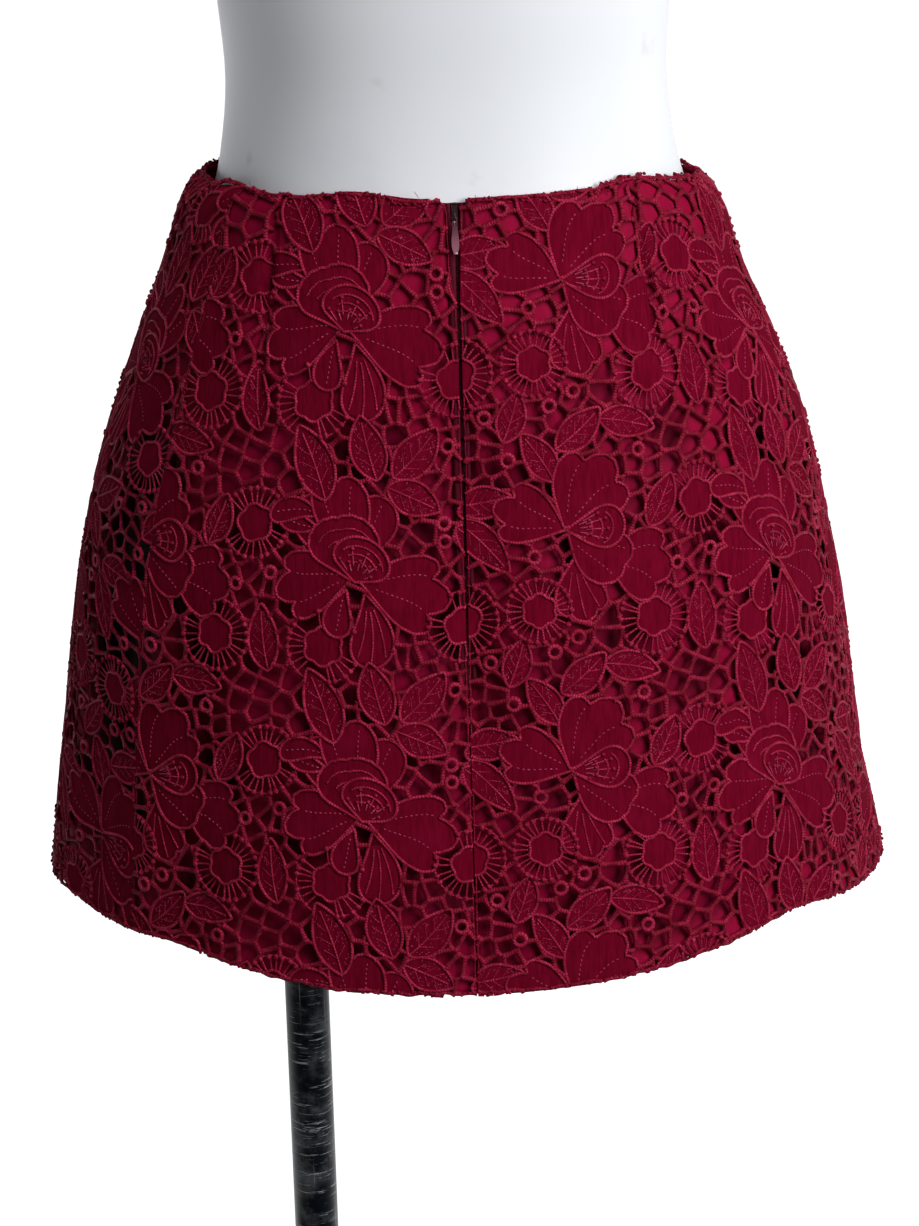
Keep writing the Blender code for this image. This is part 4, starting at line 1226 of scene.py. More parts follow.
class Unrolled:
    """The skirt's surface unrolled from one grain line: distances round it and down it, and back again."""

    def __init__(self, grain):
        round_size = np.linalg.norm(np.diff(surface_grid, axis=1), axis=-1)
        down_size = np.linalg.norm(np.diff(surface_grid, axis=0), axis=-1)
        self.arc = np.concatenate([np.zeros((len(GRID_SHARES), 1)), np.cumsum(round_size, axis=1)], axis=1)
        self.arc -= self.arc[:, [int(np.argmin(np.abs(GRID_ANGLES - grain)))]]
        self.slant = np.concatenate([np.zeros((1, len(GRID_ANGLES))), np.cumsum(down_size, axis=0)], axis=0)
        self.angle_of = np.stack([np.interp(ARCS, row, GRID_ANGLES) for row in self.arc])
        self.share_of = np.stack([np.interp(SLANTS, column, GRID_SHARES) for column in self.slant.T])

    def place(self, slant, arc):
        """The share and angle at a distance down from the waist edge and round from the grain line."""
        share = np.clip(slant / SKIRT_LENGTH, 0, 1)
        columns = (arc - ARCS[0]) / (ARCS[1] - ARCS[0])
        for _ in range(3):
            angle = read_grid(self.angle_of, share_row(share), columns)
            share = read_grid(self.share_of, angle_column(angle), slant / (SLANTS[1] - SLANTS[0]))
        return share, angle

    def arc_at(self, share, angle):
        return read_grid(self.arc, share_row(share), angle_column(angle))


# A slit's edge, in millimetres away from the centre back at distances down from the waist.
LEFT_SLIT = (
    (0, 9.5), (1.2, 7.2), (2.6, 5.4), (4.5, 4.2), (8, 3.6), (20, 3.4), (38, 3.0), (46, 0.6), (60, 0.4), (205, 0.3),
    (226, 0.3), (400, 0.3),
)
RIGHT_SLIT = (
    (0, 6.0), (1.0, 4.4), (2.4, 3.3), (4.5, 2.7), (10, 2.5), (30, 2.2), (46, 1.5), (120, 1.3), (200, 1.0),
    (228, 0.3), (400, 0.3),
)


def lace_slit(side, rows):
    """The lace's edge at the centre back: a rounded notch, the zip, then the sewn seam below it."""
    down, away = (np.array(column) * MM for column in zip(*rows))
    return lambda share: beside(CENTRE_BACK, share, side * np.interp(share * SKIRT_LENGTH, down, away))


LacePanel = namedtuple("LacePanel", "name cad_node grain start end shift flat area")
LACE_PANELS = (
    LacePanel(
        "left_back", "lace_back_left", CENTRE_BACK, seam(LEFT_SEAM, 1), lace_slit(-1, LEFT_SLIT),
        (56 + CUP_HEART[0], CUP_HEART[1] + 64), (0.195, 0.401), 0.0655,
    ),
    LacePanel(
        "right_back", "lace_back_right", CENTRE_BACK, lace_slit(1, RIGHT_SLIT), seam(RIGHT_SEAM, -1),
        (SIDE_HEART[0] - 50, SIDE_HEART[1] + 41), (0.264, 0.401), 0.0873,
    ),
    LacePanel(
        "front", "lace_front", CENTRE_FRONT, seam(RIGHT_SEAM - 360, 1), seam(LEFT_SEAM, -1),
        (CUP_HEART[0], CUP_HEART[1] + 64), (0.769, 0.399), 0.2453,
    ),
)


def panel_limits(panel, unrolled, slant, arc, share, angle):
    """Distances in from the panel's waist, hem, first and last edges; negative is outside it."""
    shares = np.concatenate([np.linspace(0, 0.03, 16), np.linspace(0.04, 1, 97)])
    first, last = (unrolled.arc_at(shares, edge(shares)) for edge in (panel.start, panel.end))
    return (
        slant,
        np.interp(angle, GRID_ANGLES, unrolled.slant[-1]) - slant,
        arc - np.interp(share, shares, first),
        np.interp(share, shares, last) - arc,
    )


def on_cone(flat):
    """The slant and arc, in metres, of flat places given in metres from the grain line at the waist, y down."""
    reach = np.hypot(flat[:, 0], CONE + flat[:, 1])
    return reach - CONE, np.arctan2(flat[:, 0], CONE + flat[:, 1]) * reach


def darted(panel, unrolled, slant, arc):
    """The arc once the panel's dart is sewn, and the distances out of its wedge, toward each side of it."""
    dart = next((dart for dart in DARTS if dart.panel == panel.name), None)
    if dart is None:
        return arc, np.full(len(arc), -1.0), np.full(len(arc), 1.0)
    share = np.clip(slant / SKIRT_LENGTH, 0, 1)
    away = arc - unrolled.arc_at(share, dart.angle + dart.lean * share)
    half = DART_INTAKE / 2 * np.clip(1 - share / dart.end, 0, 1)
    fade = np.clip(1 - (np.abs(away) - half) / DART_SPREAD, 0, 1)
    return arc - np.sign(away) * half * fade, -away - half, away - half


def settled(panel, unrolled, flat):
    """Where flat places come to lie: slant, arc, share and angle, and how far inside the panel's cut they are."""
    slant, arc = on_cone(flat)
    arc, before, after = darted(panel, unrolled, slant, arc)
    share, angle = unrolled.place(slant, arc)
    limit = np.min([*panel_limits(panel, unrolled, slant, arc, share, angle), np.maximum(before, after)], axis=0)
    return slant, arc, share, angle, limit


def trimmed(points, faces, limit):
    """Cuts triangles along limit = 0 and keeps the rest; points carry all their values as columns."""
    keep = limit >= 0
    count = keep[faces].sum(axis=1)
    whole, cut = faces[count == 3], faces[(count == 1) | (count == 2)]
    if not len(cut):
        return points, whole
    alone = keep[cut] == (keep[cut].sum(axis=1) == 1)[:, None]
    turn = alone.argmax(axis=1)
    row = np.arange(len(cut))
    a, b, c = (cut[row, (turn + k) % 3] for k in range(3))
    pairs = stacked(np.concatenate([a, a]), np.concatenate([b, c]))
    unique, index = np.unique(np.sort(pairs, axis=1), axis=0, return_inverse=True)
    ab, ac = index.reshape(2, -1) + len(points)
    p, q = unique.T
    t = (limit[p] / (limit[p] - limit[q]))[:, None]
    points = np.vstack([points, points[p] * (1 - t) + points[q] * t])
    lone = keep[a]
    return points, np.concatenate([
        whole,
        stacked(a, ab, ac)[lone],
        stacked(ab, b, c)[~lone],
        stacked(ab, c, ac)[~lone],
    ])


def array_mesh(name, points, faces=(), edges=(), material=None):
    """A mesh from arrays of points, and of triangles or edges."""
    mesh = bpy.data.meshes.new(name)
    mesh.vertices.add(len(points))
    mesh.vertices.foreach_set("co", np.asarray(points, np.float32).ravel())
    if len(edges):
        mesh.edges.add(len(edges))
        mesh.edges.foreach_set("vertices", np.asarray(edges, np.int32).ravel())
    if len(faces):
        mesh.loops.add(faces.size)
        mesh.loops.foreach_set("vertex_index", faces.astype(np.int32).ravel())
        mesh.polygons.add(len(faces))
        mesh.polygons.foreach_set("loop_start", np.arange(0, faces.size, 3, dtype=np.int32))
    mesh.update(calc_edges=not len(edges))
    if material:
        mesh.materials.append(material)
    return mesh


def as_meshed(obj):
    """Leaves an object with the mesh that its modifiers make of it."""
    bpy.context.view_layer.update()
    mesh = bpy.data.meshes.new_from_object(obj.evaluated_get(bpy.context.evaluated_depsgraph_get()))
    obj.modifiers.clear()
    spare, obj.data = obj.data, mesh
    bpy.data.meshes.remove(spare)
    mesh.name = obj.name
    return obj


def grown(name, mesh, values, tree, **settings):
    """The plain mesh that a Geometry Nodes tree makes of a mesh's points and the values stored at them."""
    for title, column in values.items():
        stored(mesh, title, column)
    obj = placed(name, mesh)
    modifier = obj.modifiers.new(tree.name, "NODES")
    modifier.node_group = tree
    for item in tree.interface.items_tree:
        if item.name in settings:
            modifier[item.identifier] = settings[item.name]
    return as_meshed(obj)


def named(tree, title, kind="FLOAT_VECTOR"):
    """The values stored at points under a name."""
    return node(tree, "GeometryNodeInputNamedAttribute", {"Name": title}, data_type=kind).outputs[0]


def storing(tree, geometry, title, value, kind):
    """A step that stores a value at the geometry's points under a name."""
    return node(tree, "GeometryNodeStoreNamedAttribute", {
        "Geometry": geometry, "Name": title, "Value": value,
    }, data_type=kind, domain="POINT").outputs[0]


def finished(tree, geometry, start, end):
    """Ends a tree: its result is made real, smooth and covered in the tree's material."""
    for kind in ("GeometryNodeRealizeInstances", "GeometryNodeSetShadeSmooth"):
        geometry = node(tree, kind, {"Geometry": geometry}).outputs[0]
    geometry = node(tree, "GeometryNodeSetMaterial", {"Geometry": geometry, "Material": start["Material"]}).outputs[0]
    tree.links.new(geometry, end["Geometry"])


# Cord laid along lines: the lines' points carry their radius as "thick"; "run" keeps the distance along each. It is
# pressed flat toward the cloth, as "facing" tells.
cord_tree, cord_in, cord_out = group("GeometryNodeTree", "laid_cord", (
    ("Geometry", "Geometry"), ("Sides", "Int", 5), ("Flatness", "Float", 0.8), ("Material", "Material"),
), (("Geometry", "Geometry"),))
cord_line = node(cord_tree, "GeometryNodeMeshToCurve", {"Mesh": cord_in["Geometry"]}).outputs[0]
cord_run = node(cord_tree, "GeometryNodeSplineParameter").outputs["Length"]
cord_place = node(cord_tree, "GeometryNodeInputPosition").outputs[0]
cord_line = storing(cord_tree, cord_line, "run", cord_run, "FLOAT")
cord_line = storing(cord_tree, cord_line, "middle", cord_place, "FLOAT_VECTOR")
cord_round = node(cord_tree, "GeometryNodeCurvePrimitiveCircle", {"Resolution": cord_in["Sides"], "Radius": 1.0})
cord_skin = node(cord_tree, "GeometryNodeCurveToMesh", {
    "Curve": cord_line, "Profile Curve": cord_round.outputs[0], "Scale": named(cord_tree, "thick", "FLOAT"),
    "Fill Caps": True,
}).outputs[0]
cord_facing = named(cord_tree, "facing")
cord_spoke = node(cord_tree, "ShaderNodeVectorMath", {
    0: cord_place, 1: named(cord_tree, "middle"),
}, operation="SUBTRACT").outputs[0]
cord_rise = node(cord_tree, "ShaderNodeVectorMath", {0: cord_spoke, 1: cord_facing}, operation="DOT_PRODUCT")
cord_excess = maths(cord_tree, "SUBTRACT", cord_in["Flatness"], 1.0)
cord_press = maths(cord_tree, "MULTIPLY", cord_rise.outputs["Value"], cord_excess)
cord_shift = node(cord_tree, "ShaderNodeVectorMath", {0: cord_facing, "Scale": cord_press}, operation="SCALE")
cord_moved = node(cord_tree, "GeometryNodeSetPosition", {"Geometry": cord_skin, "Offset": cord_shift.outputs[0]})
finished(cord_tree, cord_moved.outputs[0], cord_in, cord_out)

# Stitches and knots: small round-ended grains set on points, by "facing", "way" and "size".
grain_tree, grain_in, grain_out = group("GeometryNodeTree", "set_grains", (
    ("Geometry", "Geometry"), ("Segments", "Int", 5), ("Rings", "Int", 3), ("Material", "Material"),
), (("Geometry", "Geometry"),))
grain_ball = node(grain_tree, "GeometryNodeMeshUVSphere", {
    "Segments": grain_in["Segments"], "Rings": grain_in["Rings"], "Radius": 1.0,
})
grain_axes = node(grain_tree, "FunctionNodeAxesToRotation", {
    "Primary Axis": named(grain_tree, "way"), "Secondary Axis": named(grain_tree, "facing"),
}, primary_axis="Z", secondary_axis="X")
grain_points = node(grain_tree, "GeometryNodeMeshToPoints", {"Mesh": grain_in["Geometry"]})
grain_set = node(grain_tree, "GeometryNodeInstanceOnPoints", {
    "Points": grain_points.outputs[0], "Instance": grain_ball.outputs[0], "Rotation": grain_axes.outputs[0],
    "Scale": named(grain_tree, "size"),
})
finished(grain_tree, grain_set.outputs[0], grain_in, grain_out)


def chain(start, count, closed=False):
    """Edges that join points in a row, from a first point's number on."""
    order = np.arange(start, start + count)
    edges = stacked(order[:-1], order[1:])
    return np.vstack([edges, [[order[-1], order[0]]]]) if closed else edges


def cord_from(name, points, facing, thick, edges, sides, flatness, material):
    """Cord along edges, with a radius at each point."""
    mesh, values = array_mesh(name, points, edges=edges), {"thick": thick, "facing": facing}
    return grown(name, mesh, values, cord_tree, Sides=sides, Flatness=flatness, Material=material)


def grains_from(name, points, facing, way, size, segments, rings, material):
    """A grain at each point, along its way."""
    mesh, values = array_mesh(name, points), {"facing": facing, "way": way, "size": size}
    return grown(name, mesh, values, grain_tree, Segments=segments, Rings=rings, Material=material)


# Petal cloth: dark wine, woven and matt. Satin cord and bars: a lighter, pinker thread with cross ribs.
petal_cloth, petal_tree, petal_colour = woven_finish(
    "lace_petal_cloth", 1250.0, 0.55, (42.0, 0.4),
    ((0.092, 0.0008, 0.0080), (0.150, 0.0020, 0.0165), (0.170, 0.0026, 0.0200)), (0.5, 0.25), Roughness=0.92,
    Sheen_Weight=0.015, Sheen_Roughness=0.5, Sheen_Tint=(1.0, 0.1, 0.2, 1), Specular_IOR_Level=0.012,
)
feed(petal_tree, Base_Color=petal_colour)


def satin_thread(name, dark, light, pitch):
    """Satin-stitched cord: ribs of thread across it, their crests painted lighter and the grooves between them darker
    as painted highlight and shade, a little uneven in tone.
    """
    material, tree = principled(
        name, Roughness=0.6, Sheen_Weight=0.07, Sheen_Roughness=0.4, Sheen_Tint=(1.0, 0.2, 0.3, 1),
        Specular_IOR_Level=0.07,
    )
    place = object_place(tree)
    run = node(tree, "ShaderNodeAttribute", attribute_name="run").outputs["Fac"]
    phase = maths(tree, "MULTIPLY", run, 2 * math.pi / pitch)
    loose = maths(tree, "MULTIPLY_ADD", noise(tree, place, 700.0, 2.0), 11.0, phase)
    # Painted highlight and shade: the colour follows the ribs' bump, light on each crest and dark in each groove.
    rib = ranged(tree, maths(tree, "SINE", loose), -1, 1)
    tone = maths(tree, "MULTIPLY", rib, ranged(tree, noise(tree, place, 160.0, 3.0), 0.3, 0.7))
    feed(tree, Base_Color=mixed(tree, tone, dark, light), Normal=bumped(tree, rib, 0.5, 0.3))
    return material


cord_satin = satin_thread("lace_satin_cord", (0.200, 0.0042, 0.022), (0.445, 0.027, 0.077), 1.5 * MM)
bar_thread = satin_thread("lace_bar_thread", (0.125, 0.0014, 0.011), (0.345, 0.013, 0.048), 1.4 * MM)
stitch_thread = satin_thread("lace_stitch_thread", (0.290, 0.020, 0.058), (0.550, 0.080, 0.155), 0.7 * MM)

# Depths inside the lace's outer face: of a bottom-layer petal's face and back, and of the cords' and bars' middles.
PETAL_DEPTH, PETAL_BACK, CORD_DEPTH, BAR_DEPTH = 0.80 * MM, 1.15 * MM, 0.62 * MM, 0.85 * MM
PETAL_PUFF, PETAL_RIPPLE, PETAL_RIPPLE_TURNS = 0.16 * MM, 0.08 * MM, 330
DART_CLEAR = 1e-7
CORD_UNEVEN, CORD_UNEVEN_TURNS = 0.10, 900
LEAST_CORD = LEAST_GRAIN = 0.6 * MM


def chart_to_cloth(panel, points):
    """Chart places in millimetres, y up, as flat places on the panel's cloth in metres, y down from the waist."""
    return stacked((points[:, 0] - panel.shift[0]) * MM, (panel.shift[1] - points[:, 1]) * MM)


def repeats(panel, unrolled):
    """The whole steps of the repeat that reach the panel."""
    shares = np.linspace(0, 1, 41)
    first, last = (unrolled.arc_at(shares, edge(shares)) for edge in (panel.start, panel.end))
    reach = CONE + shares * SKIRT_LENGTH
    corners = np.concatenate([
        stacked(reach * np.sin(arc / reach), reach * np.cos(arc / reach) - CONE)
        for arc in (first, last, (first + last) / 2)
    ]) / MM
    low, high = corners.min(axis=0), corners.max(axis=0)
    columns = [(x + panel.shift[0]) / REPEAT_WIDE for x in (low[0], high[0])]
    rows = [(panel.shift[1] - y) / REPEAT_HIGH for y in (high[1] + 6, low[1] - 6)]
    return [
        (i * REPEAT_WIDE, j * REPEAT_HIGH)
        for i in range(math.floor(columns[0]) - 1, math.ceil(columns[1]) + 1)
        for j in range(math.floor(rows[0]) - 1, math.ceil(rows[1]) + 1)
    ]


def lay_cloth(name, panel, unrolled, shifts):
    """The panel's woven motifs as thin closed cloth."""
    flat = np.concatenate([chart_to_cloth(panel, cloth_points + shift) for shift in shifts])
    faces = np.concatenate([cloth_triangles + k * len(cloth_points) for k in range(len(shifts))])
    slant, arc = on_cone(flat)
    points = np.column_stack([flat, slant, arc, *np.tile([cloth_layer, on_edge.astype(float)], len(shifts))])
    (points, faces), (more, more_faces) = (
        trimmed(points, faces, side - DART_CLEAR) for side in darted(panel, unrolled, slant, arc)[1:]
    )
    points, faces = np.vstack([points, more]), np.concatenate([faces, more_faces + len(points)])
    points[:, 3] = darted(panel, unrolled, points[:, 2], points[:, 3])[0]
    points = np.column_stack([points, *unrolled.place(points[:, 2], points[:, 3])])
    for k in range(4):
        slant, arc, _, _, share, angle = points.T[2:]
        points, faces = trimmed(points, faces, panel_limits(panel, unrolled, slant, arc, share, angle)[k])
    used, index = np.unique(faces, return_inverse=True)
    faces = index.reshape(-1, 3)
    x, y, slant, arc, layer, edge, _, _ = points[used].T
    share, angle = unrolled.place(slant, arc)
    puff = np.where(edge > 0.5, 0.0, PETAL_PUFF)
    puff = puff + ripple(x * PETAL_RIPPLE_TURNS, y * PETAL_RIPPLE_TURNS, (2, 4, 6)) * PETAL_RIPPLE
    top, outward = on_skirt(share, angle, PETAL_DEPTH - layer * LAYER_LIFT * MM - puff)
    bottom, _ = on_skirt(share, angle, PETAL_BACK)
    corner = top[faces]
    if (np.cross(corner[:, 1] - corner[:, 0], corner[:, 2] - corner[:, 0]) * outward[faces[:, 0]]).sum() < 0:
        faces = faces[:, ::-1]
    edges = np.concatenate([faces[:, [0, 1]], faces[:, [1, 2]], faces[:, [2, 0]]])
    n = len(used)
    p, q = edges[~np.isin(edges @ (n, 1), edges @ (1, n))].T
    walls = np.concatenate([stacked(q, p, p + n), stacked(q, p + n, q + n)])
    every = np.concatenate([faces, faces[:, ::-1] + n, walls])
    mesh = array_mesh(name, np.vstack([top, bottom]), every, material=petal_cloth)
    stored(mesh, "flat", np.tile(np.column_stack([x, y, np.zeros(n)]), (2, 1)))
    mesh.shade_smooth()
    mesh.set_sharp_from_angle(angle=SHARP)
    return placed(name, mesh)


def thinned(cord, step):
    """A chart cord with one point kept in every few, and its ends."""
    count = len(cord.points)
    kept = np.arange(0, count, step)
    if cord.closed and len(kept) < 6:
        kept = np.arange(0, count, 2)
    elif not cord.closed and kept[-1] != count - 1:
        kept = np.append(kept, count - 1)
    return cord._replace(points=cord.points[kept], radius=np.broadcast_to(cord.radius, count)[kept])


def cut_row(values, level, run, closed):
    """The values along a run of a line's points, carried on to where the line crosses level 0."""
    row = values[run]
    for end, step in ((run[0], -1), (run[-1], 1)):
        other = (end + step) % len(level) if closed else end + step
        if 0 <= other < len(level) and level[other] <= 0:
            t = level[end] / (level[end] - level[other])
            cut = (values[end] * (1 - t) + values[other] * t)[None]
            row = np.vstack([cut, row] if step < 0 else [row, cut])
    return row


def lay_lines(name, panel, unrolled, shifts, cords, depth, sides, flatness, material, step):
    """The panel's cords or bars, cut at its borders."""
    cords = [thinned(cord, step) for cord in cords]
    cords = [cord._replace(points=chart_to_cloth(panel, cord.points + shift)) for shift in shifts for cord in cords]
    slant, arc, _, _, limit = settled(panel, unrolled, np.concatenate([cord.points for cord in cords]))
    rows, edges, total, at = [], [], 0, 0
    for cord in cords:
        here = slice(at, at + len(cord.points))
        at, level = here.stop, limit[here]
        if level.max() <= 0:
            continue
        height = np.full(len(level), cord.height * MM)
        values = np.column_stack([slant[here], arc[here], cord.radius * MM, height])
        for run in runs(level > 0, cord.closed):
            row = cut_row(values, level, run, cord.closed)
            if length_of(row[:, :2]) >= LEAST_CORD:
                edges.append(chain(total, len(row), cord.closed and len(run) == len(level)))
                rows.append(row)
                total += len(row)
    slant, arc, radius, height = np.concatenate(rows).T
    places, facing = on_skirt(*unrolled.place(slant, arc), depth - height)
    x, y, z = (places * CORD_UNEVEN_TURNS).T
    thick = radius * (1 + CORD_UNEVEN * ripple(x + y, z, (3, 5, 8)))
    return cord_from(name, places, facing, thick, np.concatenate(edges), sides, flatness, material)


def lay_grains(name, panel, unrolled, shifts, stitches, depth, segments, rings, material):
    """The panel's stitches or knots: grains set along the chart's short lines."""
    starts, ends, halves, heights = (np.array(column) for column in zip(*stitches))
    half, lift = (np.tile(column * MM, len(shifts)) for column in (halves, heights))
    found = []
    for tips in (starts, ends):
        flat = np.concatenate([chart_to_cloth(panel, tips + shift) for shift in shifts])
        _, _, share, angle, limit = settled(panel, unrolled, flat)
        found.append((*on_skirt(share, angle, depth - lift), limit))
    (a, facing, first), (b, _, last) = found
    kept = np.minimum(first, last) > LEAST_GRAIN
    a, b, facing, half = a[kept], b[kept], facing[kept], half[kept]
    long = np.linalg.norm(b - a, axis=1)
    size = stacked(half * 0.7, half, np.maximum(long / 2, half))
    return grains_from(name, (a + b) / 2, facing, (b - a) / long[:, None], size, segments, rings, material)


def laid_line(name, parts, sides, flatness, material):
    """Cord along given lines on the skirt; each part is (share, angle, depth, radius), as arrays."""
    rows = [np.column_stack(np.broadcast_arrays(*part)) for part in parts]
    starts = np.cumsum([0] + [len(row) for row in rows])
    edges = np.concatenate([chain(start, len(row)) for start, row in zip(starts, rows)])
    share, angle, depth, radius = np.concatenate(rows).T
    places, facing = on_skirt(share, angle, depth)
    return cord_from(name, places, facing, radius, edges, sides, flatness, material)


def edge_bits(name, share, angle, depth, half, long, slant, material):
    """Small grains along an edge, each turned from level by its slant in degrees."""
    places, facing = on_skirt(share, angle, depth)
    level = unit(on_skirt(share, angle + 0.3, depth)[0] - places)
    turn = np.radians(slant)[:, None]
    way = level * np.cos(turn) + np.cross(level, facing) * np.sin(turn)
    size = stacked(half * 0.8, half, np.maximum(long / 2, half))
    return grains_from(name, places, facing, way, size, 5, 4, material)


def uneven(run, pitch, seeds):
    """Wander along an edge, about -1 to 1; run and pitch are in metres."""
    return ripple(run * 2 * np.pi / pitch, run * 0.7 * np.pi / pitch, seeds)


# The few thread ends left standing at the waist; heights and drifts are in millimetres.
Wisp = namedtuple("Wisp", "panel angle high drift out")
WISPS = (
    Wisp("left_back", 263.4, 4.2, -0.8, 0.4), Wisp("right_back", 273.6, 1.8, 0.6, 0.8),
    Wisp("left_back", 219.5, 4.0, 2.0, 0.8), Wisp("right_back", 296.0, 2.0, 1.5, 0.4),
)
WISP_POINTS, WISP_RADIUS = 12, 0.14 * MM


def loose_threads(panel):
    rise = np.linspace(0, 1, WISP_POINTS)[:, None]
    curl = np.sin(rise * 4.2) * 0.7
    places, facings, edges = [], [], []
    for wisp in WISPS:
        if wisp.panel == panel.name:
            root, facing = on_skirt(0.006, wisp.angle, 0.5 * MM)
            level = np.cross((0, 0, 1), facing)
            up = (wisp.high + 2) * rise * (0, 0, 1)
            edges.append(chain(len(places) * WISP_POINTS, WISP_POINTS))
            places.append(root + MM * (up + (wisp.drift * rise**2 + curl) * level + wisp.out * rise**2 * facing))
            facings.append(np.broadcast_to(facing, places[-1].shape))
    places, facings, edges = (np.concatenate(lists) for lists in (places, facings, edges))
    thick = np.full(len(places), WISP_RADIUS)
    return cord_from(f"{panel.name}_thread_ends", places, facings, thick, edges, 5, 1.0, cord_satin)


# The cord along an edge: where it lies and how it wanders, how deep it is, how its radius swells, and how close
# its small loops come. Reach is the edge's length as a share of the panel's width.
EdgeCord = namedtuple("EdgeCord", "share reach middle wander wander_pitch depth swell swell_pitch loop_pitch")
WAIST_CORD = EdgeCord(0.0, 0.58, 0.0030, 0.0012, 0.017, 0.80 * MM, 0.34, 0.009, 2.6 * MM)
HEM_CORD = EdgeCord(1.0, 1.0, 0.9972, 0.0026, 0.016, 0.65 * MM, 0.26, 0.010, 2.4 * MM)
EDGE_CORD_RADIUS, SEAM_CORD_LENGTH = 0.95 * MM, 0.40


def lay_edges(panel):
    """The turned and rolled waist edge, the corded hem with its small loops, and the cords along the seams."""
    edge_dice = np.random.default_rng(7 + int(panel.grain))
    parts, loops = [], []
    for cord in (WAIST_CORD, HEM_CORD):
        first, last = (float(edge(np.array([cord.share]))[0]) for edge in (panel.start, panel.end))
        reach = panel.flat[0] * cord.reach
        angle = np.linspace(first, last, int(reach / (1.6 * MM)))
        run = (angle - first) / (last - first) * reach
        middle = cord.middle + cord.wander * uneven(run, cord.wander_pitch, (1, 4, 6))
        swell = 1 + cord.swell * uneven(run, cord.swell_pitch, (2, 3, 5))
        parts.append((middle, angle, cord.depth, EDGE_CORD_RADIUS * swell))
        count = int(reach / cord.loop_pitch)
        at = np.linspace(first, last, count + 2)[1:-1]
        at = at + edge_dice.uniform(-0.3, 0.3, count) * (last - first) / count
        if cord is WAIST_CORD:
            share = 0.0005 + 0.010 * edge_dice.uniform(0, 1, count) ** 2
        else:
            share = 0.9975 + edge_dice.uniform(-0.003, 0.0015, count)
        depth, half, long = (
            edge_dice.uniform(least, most, count) * MM for least, most in ((-0.6, 0.6), (0.55, 1.0), (1.4, 3.4))
        )
        loops.append((np.clip(share, 0, 1), at, depth, half, long, edge_dice.uniform(-28, 28, count)))
    down = np.linspace(0.006, 0.996, int(SEAM_CORD_LENGTH / (1.8 * MM)))
    run = down * SKIRT_LENGTH
    for edge, side in ((panel.start, 1), (panel.end, -1)):
        at_zip = (panel.name, side) in (("left_back", -1), ("right_back", 1))
        radius = np.where(down < ZIP_END, 0.34, 0.40) * MM if at_zip else 0.48 * MM
        inset = side * (0.55 + 0.25 * uneven(run, 0.014, (2, 5, 7))) * MM
        radius = radius * (1 + 0.12 * uneven(run, 0.008, (1, 3, 4)))
        parts.append((down, beside(edge(down), down, inset), EDGE_CORD_RADIUS, radius))
    # The edge cords and loops take the darker bar thread as painted shade, standing in for the shadow under the
    # corded hem.
    cords = laid_line(f"{panel.name}_edge_cords", parts, 7, 0.85, bar_thread)
    loops = edge_bits(f"{panel.name}_edge_bits", *(np.concatenate(column) for column in zip(*loops)), bar_thread)
    return [cords, loops] if panel.name == "front" else [cords, loops, loose_threads(panel)]


# The backs are laid in full; the front, four times their reach, has its cords and bars a little plainer.
Fineness = namedtuple("Fineness", "cord_sides bar_sides step stitch_rings knot_segments knot_rings")
FINE, PLAIN = Fineness(5, 6, 1, 3, 5, 4), Fineness(4, 3, 2, 2, 4, 3)
for panel in LACE_PANELS:
    unrolled = Unrolled(panel.grain)
    laid = (panel, unrolled, repeats(panel, unrolled))
    look = PLAIN if panel.name == "front" else FINE
    petals = lay_cloth(f"{panel.name}_petals", *laid)
    cords = lay_lines(
        f"{panel.name}_cords", *laid, chart_cords, CORD_DEPTH, look.cord_sides, 0.9, cord_satin, look.step,
    )
    bars = lay_lines(
        f"{panel.name}_bars", *laid, chart_bars, BAR_DEPTH, look.bar_sides, 0.80, bar_thread, look.step,
    )
    stitches = lay_grains(
        f"{panel.name}_stitches", *laid, chart_stitches, PETAL_DEPTH - 0.1 * MM, 4, look.stitch_rings, stitch_thread,
    )
    knots = lay_grains(
        f"{panel.name}_knots", *laid, chart_knots, CORD_DEPTH, look.knot_segments, look.knot_rings, cord_satin,
    )
    flowers = joined(f"lace_{panel.name}_flowers", [petals, cords])
    net = joined(f"lace_{panel.name}_net", [bars, stitches, knots, *lay_edges(panel)])
    for piece in (flowers, net):
        stands_for(piece, panel.cad_node)

# ---------------------------------------------------------------- the zip: tapes and coils
# A concealed zip: each tape, satin-faced at its fold, is sewn under the lace and turns forward beside the slit to
# hide its nylon coil. The left fold shows as a smooth mauve strip; the right one lies back under the lace. A tape's
# folds are given in millimetres: aside from the centre back, and in from the lace's outer face.
TAPES = (
    ("zip_tape_left", 1.75 * MM, (
        (-12.0, 3.3), (-8.0, 3.3), (-5.2, 3.1), (-4.3, 2.6), (-3.7, 2.0), (-3.2, 1.65), (-2.4, 1.45), (-1.5, 1.40),
        (-0.8, 1.48), (-0.4, 1.75), (-0.3, 2.3), (-0.25, 2.9), (0.3, 3.2),
    )),
    ("zip_tape_right", 0.35 * MM, (
        (12.0, 3.3), (8.0, 3.3), (6.0, 3.1), (4.8, 2.6), (3.9, 2.2), (3.2, 2.05), (2.6, 2.1), (2.35, 2.4),
        (2.2, 2.9), (1.6, 3.2), (0.7, 3.3),
    )),
)
TAPE_CLOTH = 0.35 * MM
TAPE_TOP = 0.0055
TAPE_SEWN_FROM = 4.4 * MM  # beyond this the tape lies under the lining
SPLAY_END, SPLAY_SPAN = 14 * MM, 5 * MM  # the tapes' tops splay, down to here and over this distance

